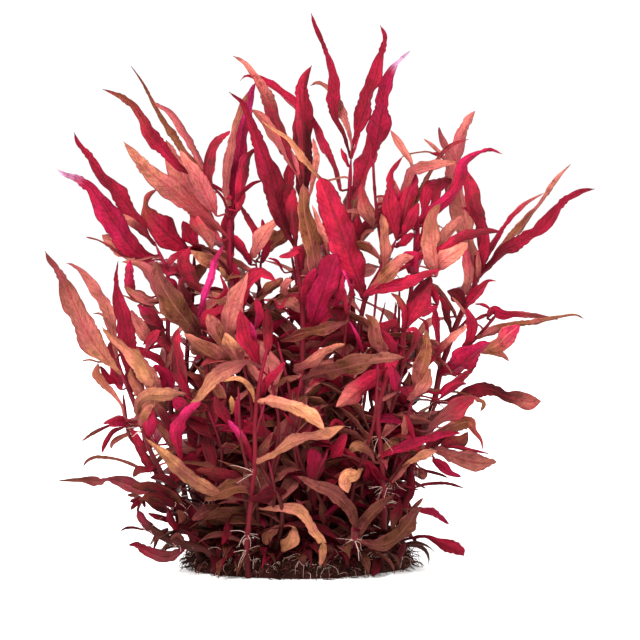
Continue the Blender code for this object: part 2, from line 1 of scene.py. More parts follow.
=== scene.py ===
# %% [markdown]
# # A bushy red water plant
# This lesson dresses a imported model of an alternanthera: a clump of red stems with
# lance-shaped leaves, which stands on its own flat mat of roots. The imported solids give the
# place of every stem and every main leaf. Here each of them gets a fine skin, and the small
# leaves, the fine roots and the fibres are added, because those are too thin to be solids.

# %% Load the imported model
import json
import math

import bpy
import numpy as np
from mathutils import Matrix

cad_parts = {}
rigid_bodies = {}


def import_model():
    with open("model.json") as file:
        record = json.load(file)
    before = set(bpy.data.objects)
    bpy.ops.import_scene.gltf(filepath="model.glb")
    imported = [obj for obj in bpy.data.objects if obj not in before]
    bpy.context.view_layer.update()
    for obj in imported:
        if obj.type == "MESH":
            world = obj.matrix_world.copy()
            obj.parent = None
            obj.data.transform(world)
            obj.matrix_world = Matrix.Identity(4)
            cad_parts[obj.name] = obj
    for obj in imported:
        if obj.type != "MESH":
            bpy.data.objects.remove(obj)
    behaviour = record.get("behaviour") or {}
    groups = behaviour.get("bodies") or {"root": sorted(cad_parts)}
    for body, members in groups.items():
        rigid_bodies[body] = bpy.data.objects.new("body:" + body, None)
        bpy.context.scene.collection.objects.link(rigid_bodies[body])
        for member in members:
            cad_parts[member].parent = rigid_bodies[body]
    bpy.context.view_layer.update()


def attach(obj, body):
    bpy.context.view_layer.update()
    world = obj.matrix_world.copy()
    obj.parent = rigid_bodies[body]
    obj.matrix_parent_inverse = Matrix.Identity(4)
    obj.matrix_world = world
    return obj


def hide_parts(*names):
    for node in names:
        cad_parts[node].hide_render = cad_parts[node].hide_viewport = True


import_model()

# %% [markdown]
# The front of the clump is laid out as someone in front of it sees it. A place is given as
# its distance right of the middle, its height as it is seen, and its depth. The line from
# the eye through the seen place is followed to that depth. A camera could be asked for that
# line, but the sum is short and works on whole arrays at once.

# %% From a seen place to a place in space
EYE_DISTANCE = 1.5
LOOK_SLOPE = math.radians(4.0)
LOOK_HEIGHT = 0.1245
MM = 0.001


def seen_places(right, up, back):
    """World points for seen places. The seen height is taken from the point looked at, and
    the height that shows there at the asked depth is solved from the eye's perspective.
    Millimetres in, metres out."""
    sine, cosine = math.sin(LOOK_SLOPE), math.cos(LOOK_SLOPE)
    floor = EYE_DISTANCE * LOOK_HEIGHT * cosine / (EYE_DISTANCE + LOOK_HEIGHT * sine)
    right, up, back = np.broadcast_arrays(np.multiply(right, MM), np.multiply(up, MM),
                                          np.multiply(back, MM))
    seen = up - floor
    rise = seen * (EYE_DISTANCE + back * cosine) - EYE_DISTANCE * back * sine
    rise = rise / (EYE_DISTANCE * cosine + seen * sine)
    away = EYE_DISTANCE + back * cosine - rise * sine
    return np.stack([right * away / EYE_DISTANCE, back, LOOK_HEIGHT + rise], axis=-1)


def as_seen(points):
    """The reverse: how far right of the middle and how high, in millimetres, points show."""
    sine, cosine = math.sin(LOOK_SLOPE), math.cos(LOOK_SLOPE)
    floor = EYE_DISTANCE * LOOK_HEIGHT * cosine / (EYE_DISTANCE + LOOK_HEIGHT * sine)
    rise = points[..., 2] - LOOK_HEIGHT
    away = EYE_DISTANCE + points[..., 1] * cosine - rise * sine
    high = (rise * cosine + points[..., 1] * sine) * EYE_DISTANCE / away + floor
    return points[..., 0] * EYE_DISTANCE / away / MM, high / MM


print("a seen place 100 mm up and 50 mm back:", seen_places(0.0, 100.0, 50.0).round(4))

# %% [markdown]
# Stems and leaves are soft curves. A Bezier curve object could draw them, but here a smooth
# curve is worked out through the given points, because the leaves need its direction and
# its length at every step. The Catmull-Rom rule passes through each point and bends gently
# between them.

# %% Smooth curves through points


def smooth_curve(rows, count):
    """Catmull-Rom curve through the rows, resampled at equal steps of its length. Between
    two rows it is the cubic whose slope at each row is half the step between its
    neighbours."""
    rows = np.asarray(rows, dtype=float)
    ends = np.vstack([2 * rows[0] - rows[1], rows, 2 * rows[-1] - rows[-2]])
    place = np.linspace(0, len(rows) - 1, 24 * (len(rows) - 1) + 1)
    i = np.minimum(place.astype(int), len(rows) - 2)
    t = (place - i)[:, None]
    a, b, c, d = ends[i], ends[i + 1], ends[i + 2], ends[i + 3]
    fine = 0.5 * (2 * b + (c - a) * t + (2 * a - 5 * b + 4 * c - d) * t ** 2
                  + (3 * b - a - 3 * c + d) * t ** 3)
    return resampled(fine, count)


def resampled(fine, count):
    """The same curve with its points at equal steps of length in its first three columns."""
    steps = np.linalg.norm(np.diff(fine[:, :3], axis=0), axis=1)
    walked = np.concatenate([[0.0], np.cumsum(steps)])
    marks = np.linspace(0.0, walked[-1], count)
    return np.stack([np.interp(marks, walked, column) for column in fine.T], axis=1)


def length_of(path):
    """Length of a path along its points."""
    return float(np.linalg.norm(np.diff(path[:, :3], axis=0), axis=1).sum())


def unit(vectors):
    """Vectors brought to length one along the last axis."""
    return vectors / np.maximum(np.linalg.norm(vectors, axis=-1, keepdims=True), 1e-12)


def directions(path):
    """Direction of the path at each of its points."""
    return unit(np.gradient(path[..., :3], axis=-2))


print("length of a test bow:", round(length_of(smooth_curve([(0, 0, 0), (1, 1, 0), (2, 0, 0)], 50)), 3))

# %% [markdown]
# Every piece of the plant is a skin over rings: a tube for a stem, a flat ring for a leaf,
# a thin tube for a root. So one helper turns grids of points into a mesh. It also stores a
# map that runs across and along each blade, and a colour that is worked out per point.
# Vertex colours suit a plant, because the tint changes slowly from foot to tip.

# %% From grids of points to a piece


def add_piece(name, skins, finish, stands_for=()):
    """One mesh from skins. A skin is (points, map, tint), each a grid of strands by rings by
    sides. A tint is a colour and then how light the leaf is, which carries painted shade and
    light. Faces join neighbours on the grid, and each strand has a cap on both ends."""
    places, maps, tints, corners, sizes = [], [], [], [], []
    first = 0
    for points, across_along, tint in skins:
        strands, rings, sides = points.shape[:3]
        index = first + np.arange(strands * rings * sides).reshape(strands, rings, sides)
        after = np.roll(index, -1, axis=2)
        walls = np.stack([index[:, :-1], after[:, :-1], after[:, 1:], index[:, 1:]], axis=-1)
        caps = np.concatenate([index[:, 0, ::-1], index[:, -1]])
        corners += [walls.reshape(-1), caps.reshape(-1)]
        sizes += [np.full(walls.size // 4, 4), np.full(len(caps), sides)]
        places.append(points.reshape(-1, 3))
        maps.append(across_along.reshape(-1, 2))
        tints.append(tint.reshape(-1, tint.shape[-1])[:, [0, 1, 2, -1]])
        first += strands * rings * sides
    corners, sizes = np.concatenate(corners), np.concatenate(sizes)
    places, maps, tints = np.concatenate(places), np.concatenate(maps), np.concatenate(tints)
    places[:, 2] = np.maximum(places[:, 2], 0.0)
    mesh = bpy.data.meshes.new(name)
    mesh.vertices.add(len(places))
    mesh.vertices.foreach_set("co", places.astype(np.float32).ravel())
    mesh.loops.add(len(corners))
    mesh.loops.foreach_set("vertex_index", corners.astype(np.int32))
    mesh.polygons.add(len(sizes))
    mesh.polygons.foreach_set("loop_start", (np.cumsum(sizes) - sizes).astype(np.int32))
    mesh.polygons.foreach_set("use_smooth", np.ones(len(sizes), dtype=bool))
    mesh.update(calc_edges=True)
    mesh.validate()
    layer = mesh.uv_layers.new(name="blade")
    layer.uv.foreach_set("vector", maps[corners].astype(np.float32).ravel())
    colours = mesh.attributes.new("tint", "FLOAT_COLOR", "POINT")
    colours.data.foreach_set("color", tints.astype(np.float32).ravel())
    mesh.materials.append(finish)
    piece = bpy.data.objects.new(name, mesh)
    bpy.context.scene.collection.objects.link(piece)
    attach(piece, "root")
    if stands_for:
        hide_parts(*stands_for)
    return piece


def triangles(piece):
    """Number of triangles of a piece."""
    sizes = np.zeros(len(piece.data.polygons), dtype=np.int32)
    piece.data.polygons.foreach_get("loop_total", sizes)
    return int((sizes - 2).sum())


# %% [markdown]
# Live leaves are never one colour. Crimson leaves shade into magenta or olive towards the
# tip, salmon ones into gold or brown, and the foot is darker. So the tones of the plant are
# kept as a small palette in linear light, and each leaf blends two or three of them.

# %% The palette
TONES = {
    "crimson": (0.248, 0.007, 0.023),
    "magenta": (0.295, 0.007, 0.042),
    "salmon": (0.385, 0.110, 0.084),
    "gold": (0.460, 0.180, 0.088),
    "amber": (0.740, 0.300, 0.130),
    "olive": (0.140, 0.045, 0.020),
    "maroon": (0.074, 0.007, 0.010),
    "pink": (0.560, 0.022, 0.150),
    "lilac": (0.900, 0.500, 0.830),
    "rose": (0.235, 0.048, 0.052),
    "bark": (0.030, 0.010, 0.007),
    "rootlet": (0.600, 0.480, 0.420),
}
TONES = {name: np.array(colour) for name, colour in TONES.items()}
rng = np.random.default_rng(2674)


def blend(first, second, share):
    """Colour part of the way from the first to the second."""
    share = np.asarray(share)[..., None]
    return first * (1 - share) + second * share


def step_up(low, high, value):
    """0 below low, 1 above high, and an even S between them."""
    t = np.clip((np.asarray(value) - low) / (high - low), 0.0, 1.0)
    return t * t * (3 - 2 * t)


print("tones:", ", ".join(TONES))

# %% [markdown]
# A finish here is a Principled shader whose colour starts from the tint of the point. On
# top of it come the midrib, the side veins, a darker rim, cloudy patches and fine grain,
# all from nodes. The veins follow the blade's own map, and the patches sit in space. The
# bump only carries veins and grain: the folds and ruffles are in the mesh.

# %% Helpers for node trees


def new_finish(name):
    """A material with a Principled shader: the material, its tree and the shader."""
    finish = bpy.data.materials.new(name)
    finish.use_nodes = True
    tree = finish.node_tree
    return finish, tree, tree.nodes["Principled BSDF"]


def joined(tree, socket, value):
    """Put a value or a link on a socket."""
    if isinstance(value, bpy.types.NodeSocket):
        tree.links.new(value, socket)
    elif value is not None:
        socket.default_value = value


def maths(tree, operation, first, second=None, clamp=False):
    """Result of one sum of two values."""
    node = tree.nodes.new("ShaderNodeMath")
    node.operation = operation
    node.use_clamp = clamp
    joined(tree, node.inputs[0], first)
    joined(tree, node.inputs[1], second)
    return node.outputs[0]


def ranged(tree, value, low, high, out_low=0.0, out_high=1.0):
    """Value brought from one range to another with soft ends."""
    node = tree.nodes.new("ShaderNodeMapRange")
    node.interpolation_type = "SMOOTHSTEP"
    for i, number in enumerate((value, low, high, out_low, out_high)):
        joined(tree, node.inputs[i], number)
    return node.outputs[0]


def noise(tree, place, scale, detail=2.0, roughness=0.5):
    """Cloudy value over a place."""
    node = tree.nodes.new("ShaderNodeTexNoise")
    joined(tree, node.inputs["Vector"], place)
    node.inputs["Scale"].default_value = scale
    node.inputs["Detail"].default_value = detail
    node.inputs["Roughness"].default_value = roughness
    return node.outputs["Fac"]


def mixed(tree, share, first, second, way="MIX"):
    """Mix of two colours."""
    node = tree.nodes.new("ShaderNodeMix")
    node.data_type = "RGBA"
    node.blend_type = way
    joined(tree, node.inputs[0], share)
    joined(tree, node.inputs[6], first)
    joined(tree, node.inputs[7], second)
    return node.outputs[2]


def own_tint(tree):
    """The colour stored per point, and how light it is there: painted shade and light."""
    node = tree.nodes.new("ShaderNodeAttribute")
    node.attribute_name = "tint"
    return node.outputs["Color"], node.outputs["Alpha"]


def own_map(tree):
    """Across and along the blade: 0 to 1 across, and centimetres along."""
    node = tree.nodes.new("ShaderNodeUVMap")
    node.uv_map = "blade"
    split = tree.nodes.new("ShaderNodeSeparateXYZ")
    tree.links.new(node.outputs["UV"], split.inputs[0])
    return split.outputs[0], split.outputs[1]


def in_space(tree):
    """Object coordinates."""
    return tree.nodes.new("ShaderNodeTexCoord").outputs["Object"]


def bumped(tree, shader, height, distance, strength):
    """Bump from a height, on the shader's normal."""
    node = tree.nodes.new("ShaderNodeBump")
    node.inputs["Strength"].default_value = strength
    node.inputs["Distance"].default_value = distance
    joined(tree, node.inputs["Height"], height)
    tree.links.new(node.outputs["Normal"], shader.inputs["Normal"])


def stretched(tree, across_scale, along_scale):
    """The blade map as a vector, scaled across and along."""
    node = tree.nodes.new("ShaderNodeUVMap")
    node.uv_map = "blade"
    mapping = tree.nodes.new("ShaderNodeMapping")
    mapping.inputs["Scale"].default_value = (across_scale, along_scale, 1.0)
    tree.links.new(node.outputs["UV"], mapping.inputs["Vector"])
    return mapping.outputs["Vector"]


# %% Leaf finishes
# Per finish: tone and share of the midrib, of the soft clouds, of the sharper patches and of the rim
LEAF_LOOKS = {
    "crimson": (("maroon", 0.55), ("maroon", 0.50), ("magenta", 0.35), ("maroon", 0.35)),
    "magenta": (("maroon", 0.50), ("crimson", 0.70), ("maroon", 0.40), ("maroon", 0.35)),
    "salmon": (("crimson", 0.45), ("rose", 0.70), ("olive", 0.45), ("crimson", 0.40)),
    "gold": (("olive", 0.30), ("salmon", 0.70), ("olive", 0.35), ("rose", 0.60)),
    "olive": (("salmon", 0.40), ("rose", 0.65), ("maroon", 0.60), ("salmon", 0.40)),
    "maroon": (("crimson", 0.40), ("crimson", 0.40), ("bark", 0.50), ("crimson", 0.30)),
}
VEINS_PER_CM = 2.6
VEIN_CLIMB = 0.7


def rgba(tone):
    """Palette colour as four numbers."""
    return (*TONES[tone], 1.0)


def leaf_finish(name):
    """Leaf surface: tint, clouds, patches, midrib, faint chevron veins, streaks and grain, all times the stored light,
    which carries painted shade and light.
    """
    rib, cloud, patch, edge = LEAF_LOOKS[name]
    finish, tree, shader = new_finish("leaf_" + name)
    across, along = own_map(tree)
    off_rib = maths(tree, "MULTIPLY", maths(tree, "ABSOLUTE", maths(tree, "SUBTRACT", across, 0.5)), 2.0)
    tint, light = own_tint(tree)
    place = in_space(tree)
    clouds = noise(tree, place, 70.0, 3.0, 0.6)
    patches = noise(tree, place, 190.0, 4.0, 0.65)
    grain = noise(tree, place, 1100.0, 2.0)
    streaks = noise(tree, stretched(tree, 9.0, 0.9), 1.0, 3.0, 0.6)
    climb = maths(tree, "SUBTRACT", along, maths(tree, "MULTIPLY", off_rib, VEIN_CLIMB))
    turn = maths(tree, "FRACT", maths(tree, "MULTIPLY", climb, VEINS_PER_CM))
    from_vein = maths(tree, "ABSOLUTE", maths(tree, "SUBTRACT", turn, 0.5))
    vein = ranged(tree, from_vein, 0.14, 0.0)
    near_rib = ranged(tree, off_rib, 0.13, 0.03)
    near_rim = ranged(tree, off_rib, 0.80, 1.0)
    colour = tint
    for mask, (tone, most) in ((ranged(tree, clouds, 0.42, 0.64), cloud), (ranged(tree, patches, 0.50, 0.62), patch),
                               (vein, (rib[0], 0.14)), (near_rib, rib), (near_rim, edge)):
        colour = mixed(tree, maths(tree, "MULTIPLY", mask, most), colour, rgba(tone))
    shade = maths(tree, "MULTIPLY", ranged(tree, grain, 0.25, 0.75, 0.84, 1.12),
                  ranged(tree, streaks, 0.30, 0.70, 0.76, 1.16))
    # The stored light multiplies the colour: painted shade and light of the leaf's place and fold.
    shade = maths(tree, "MULTIPLY", shade, light)
    grey = tree.nodes.new("ShaderNodeCombineColor")
    for socket in grey.inputs[:3]:
        tree.links.new(shade, socket)
    colour = mixed(tree, 1.0, colour, grey.outputs[0], "MULTIPLY")
    tree.links.new(colour, shader.inputs["Base Color"])
    tree.links.new(ranged(tree, clouds, 0.3, 0.7, 0.42, 0.60), shader.inputs["Roughness"])
    height = maths(tree, "ADD", maths(tree, "MULTIPLY", vein, -0.25), maths(tree, "MULTIPLY", streaks, 0.9))
    height = maths(tree, "ADD", height, maths(tree, "MULTIPLY", patches, 1.1))
    bumped(tree, shader, height, 0.0008, 0.8)
    shader.inputs["Specular IOR Level"].default_value = 0.03
    return finish


leaf_finishes = {name: leaf_finish(name) for name in LEAF_LOOKS}
shoot_finish = leaf_finish("crimson")
shoot_finish.name = "leafy_shoot"
print("leaf finishes:", ", ".join(leaf_finishes))

# %% [markdown]
# A stem of this plant is round and fleshy, red at the top and brown near the roots, with
# fine lengthwise streaks and a ring at each node. The streaks come from a noise that is
# stretched along the stem's own map.

# %% Stem and root finishes


def stalk_finish(name, low_rough, high_rough, dark_tone):
    """Stem, root or fibre surface: tint with lengthwise streaks and grain."""
    finish, tree, shader = new_finish(name)
    streaks = noise(tree, stretched(tree, 9.0, 0.6), 1.0, 3.0)
    grain = noise(tree, in_space(tree), 700.0, 3.0)
    colour = mixed(tree, ranged(tree, streaks, 0.42, 0.70, 0.0, 0.75), own_tint(tree)[0], rgba(dark_tone))
    tree.links.new(colour, shader.inputs["Base Color"])
    tree.links.new(ranged(tree, grain, 0.3, 0.7, low_rough, high_rough), shader.inputs["Roughness"])
    height = maths(tree, "ADD", streaks, maths(tree, "MULTIPLY", grain, 0.6))
    bumped(tree, shader, height, 0.0003, 0.6)
    shader.inputs["Specular IOR Level"].default_value = 0.05
    return finish


stem_finish = stalk_finish("stem_skin", 0.34, 0.55, "maroon")
root_finish = stalk_finish("root_felt", 0.70, 0.95, "bark")
fibre_finish = stalk_finish("root_fibre", 0.55, 0.85, "bark")
rootlet_finish = stalk_finish("water_rootlet", 0.35, 0.60, "salmon")
print("stalk finishes made")

# %% [markdown]
# The tables say where everything grows. A stem is given by its foot radius, its tip radius
# and the places that it passes. A leaf is given by its stem, its depth, its turn, its tone
# and its places with their widths. All of it is in millimetres, as seen from the front.

# %% Where the stems, shoots and main leaves are
# Stems, from the root mat up: the stem that they fork from, or None on the root mat, then
# the radius at the foot and at the tip, then points as the distance right of the middle,
# the height seen from the front and the distance behind the middle, all in millimetres
STEMS = {
    "stem_front_red": (None, 1.5, 0.9, [
        (-36, 3.5, -36), (-36.5, 11, -40), (-35.5, 23.5, -42), (-34, 38.5, -44), (-32.5, 52.5, -46),
        (-32.5, 68.5, -46), (-31.5, 83.5, -46), (-29, 98.5, -44), (-26, 111, -42)]),
    "stem_right_red": (None, 1.5, 0.9, [
        (31, 5.5, -20), (32, 23.5, -24), (32, 38.5, -26), (30.5, 56, -28), (29, 76, -28),
        (31, 87.5, -26), (35.5, 97, -20), (40, 106, -14), (42, 118.5, -10), (44.5, 132, -9),
        (46.5, 146, -8), (47.5, 158.5, -8), (47, 168.5, -8)]),
    "stem_right_main": (None, 1.9, 1.2, [
        (39.5, 5.5, 5), (41.5, 23.5, 6), (43.5, 38.5, 7), (46, 51, 8), (50, 62.5, 9),
        (55, 76, 9), (57.5, 84.5, 9), (59, 92.5, 9), (60.5, 99.5, 9), (64.5, 111, 9),
        (67.5, 119.5, 9), (72, 129.5, 9), (77, 139.5, 9), (77.5, 151, 10), (73.5, 169.5, 14),
        (69.5, 185, 18), (65.5, 200, 20)]),
    "stem_right_diagonal": (None, 1.6, 1.0, [
        (26, 5.5, 20), (30, 33.5, 23), (36, 63.5, 24), (44, 87.5, 24), (52.5, 100.5, 22),
        (58.5, 108.5, 21), (64, 114, 21), (70, 119.5, 21), (74, 124.5, 20)]),
    "stem_right_side_shoot": ("stem_right_main", 1.1, 0.8, [
        (60.5, 98.5, 9), (66, 103, 2), (71.5, 108.5, -2), (77.5, 114, -4), (83.5, 120.5, -5),
        (88, 126, -5)]),
    "stem_centre_tall": (None, 1.8, 1.0, [
        (1, 5.5, 10), (2.5, 33.5, 12), (7.5, 68.5, 15), (14, 93.5, 17), (17, 111, 17),
        (16.5, 128.5, 16), (15.5, 143.5, 14), (15, 161, 11), (14.5, 181, 8), (15, 193.5, 6),
        (15.5, 204.5, 5)]),
    "stem_centre_right": (None, 1.8, 1.1, [
        (12.5, 5.5, -5), (15, 33.5, -8), (17, 63.5, -9), (18, 88.5, -8), (18.5, 106, -6),
        (20, 121, -5), (22.5, 133.5, -5), (26.5, 142, -6), (31, 149.5, -8), (35, 157.5, -10),
        (38.5, 164.5, -12)]),
    "stem_centre_right_fork": ("stem_centre_right", 0.9, 0.7, [
        (30.5, 149, -8), (31, 158.5, -3), (29.5, 168.5, 0), (28, 181, 2), (27, 193.5, 4),
        (26.5, 204.5, 5)]),
    "stem_centre": (None, 1.8, 1.1, [
        (-11, 5.5, -10), (-10.5, 33.5, -12), (-10, 68.5, -13), (-9, 98.5, -13), (-8.5, 123.5, -11),
        (-10, 141, -8), (-11.5, 152.5, -6), (-12.5, 163.5, -4), (-9.5, 179.5, -2)]),
    "stem_left_centre": (None, 1.8, 1.2, [
        (-44, 5.5, 8), (-42, 33.5, 10), (-40, 68.5, 11), (-40, 98.5, 11), (-41.5, 118.5, 11),
        (-43, 138.5, 9), (-45, 156, 7), (-45, 175.5, 5)]),
    "stem_left_centre_fork": ("stem_left_centre", 0.8, 0.6, [
        (-45, 174, 5), (-48, 183.5, 1), (-53, 189.5, -2), (-57.5, 193.5, -4)]),
    "stem_centre_back": (None, 1.6, 1.0, [
        (-24, 5.5, 26), (-25, 33.5, 28), (-26, 68.5, 28), (-26, 98.5, 27), (-27, 118.5, 24),
        (-29, 133.5, 21), (-31, 143.5, 18), (-32, 152.5, 16)]),
    "stem_left_tall": (None, 1.7, 1.0, [
        (-52.5, 5.5, -12), (-53.5, 33.5, -14), (-54.5, 63.5, -15), (-56, 88.5, -15), (-57.5, 113.5, -13),
        (-58, 137.5, -10)]),
    "stem_left_back": (None, 1.6, 1.0, [
        (-57.5, 5.5, 20), (-61, 33.5, 24), (-65, 63.5, 26), (-67, 88.5, 27), (-66, 113.5, 26),
        (-64, 133.5, 24), (-63, 148.5, 22), (-63, 157.5, 20)]),
    "stem_left_upper": (None, 1.6, 1.0, [
        (-62, 5.5, 3), (-65, 23.5, 2), (-70, 48.5, 0), (-74, 73.5, -2), (-76, 98.5, -3),
        (-76, 123.5, -3), (-76, 138.5, -3), (-76.5, 148.5, -2), (-80, 156, 0), (-82.5, 162, 1)]),
    "stem_left_front": (None, 1.5, 1.0, [
        (-59.5, 5.5, -17), (-68, 23.5, -25), (-77.5, 43.5, -32), (-85, 58.5, -36), (-90, 73.5, -38),
        (-94.5, 86, -38), (-99.5, 97.5, -37), (-101.5, 104.5, -36)]),
    "stem_left_low": (None, 1.4, 0.8, [
        (-55.5, 5.5, 14), (-69, 23.5, 18), (-79.5, 39.5, 18), (-84, 52, 17), (-91, 60, 16),
        (-95.5, 66, 15), (-97, 74.5, 15), (-98.5, 86.5, 15)]),
    "stem_left_bent": (None, 2.3, 2.1, [
        (-49, 7, -26), (-57, 9, -29), (-65, 10.5, -31), (-74, 13, -32), (-82, 17.5, -32),
        (-88, 22.5, -32), (-91, 28, -31)]),
    "stem_front_short": (None, 1.4, 0.9, [
        (9, 3.5, -30), (12.5, 7.5, -38), (16, 11.5, -43), (18.5, 16, -46)]),
    "stem_lower_right": ("stem_right_red", 1.1, 0.8, [
        (32, 36.5, -26), (35.5, 43.5, -24), (39, 48.5, -23), (43, 52, -22), (47.5, 55, -21),
        (52.5, 57.5, -20), (57, 59, -20)]),
}

# Shoots at the back: the number of leaf pairs, then points like those of the stems
SHOOTS = {
    "shoot_back_left": (5, [
        (-35, 5.5, 30), (-42, 33.5, 44), (-49, 63.5, 56), (-53.5, 88.5, 62), (-56, 108.5, 65)]),
    "shoot_back_centre": (6, [
        (-15, 5.5, 32), (-12, 33.5, 48), (-8, 68.5, 62), (-4.5, 108.5, 70), (-2, 138.5, 75),
        (-0.5, 152.5, 77)]),
    "shoot_back_right": (5, [
        (9, 5.5, 28), (20, 33.5, 38), (31, 63.5, 47), (39, 88.5, 54), (43, 111, 58)]),
    "shoot_low_left": (4, [
        (-26, 5.5, 34), (-29, 23.5, 48), (-31, 43.5, 60), (-32, 57.5, 67)]),
    "shoot_low_right": (4, [
        (-3, 5.5, 34), (-1, 23.5, 50), (1, 43.5, 64), (2, 57.5, 72)]),
}

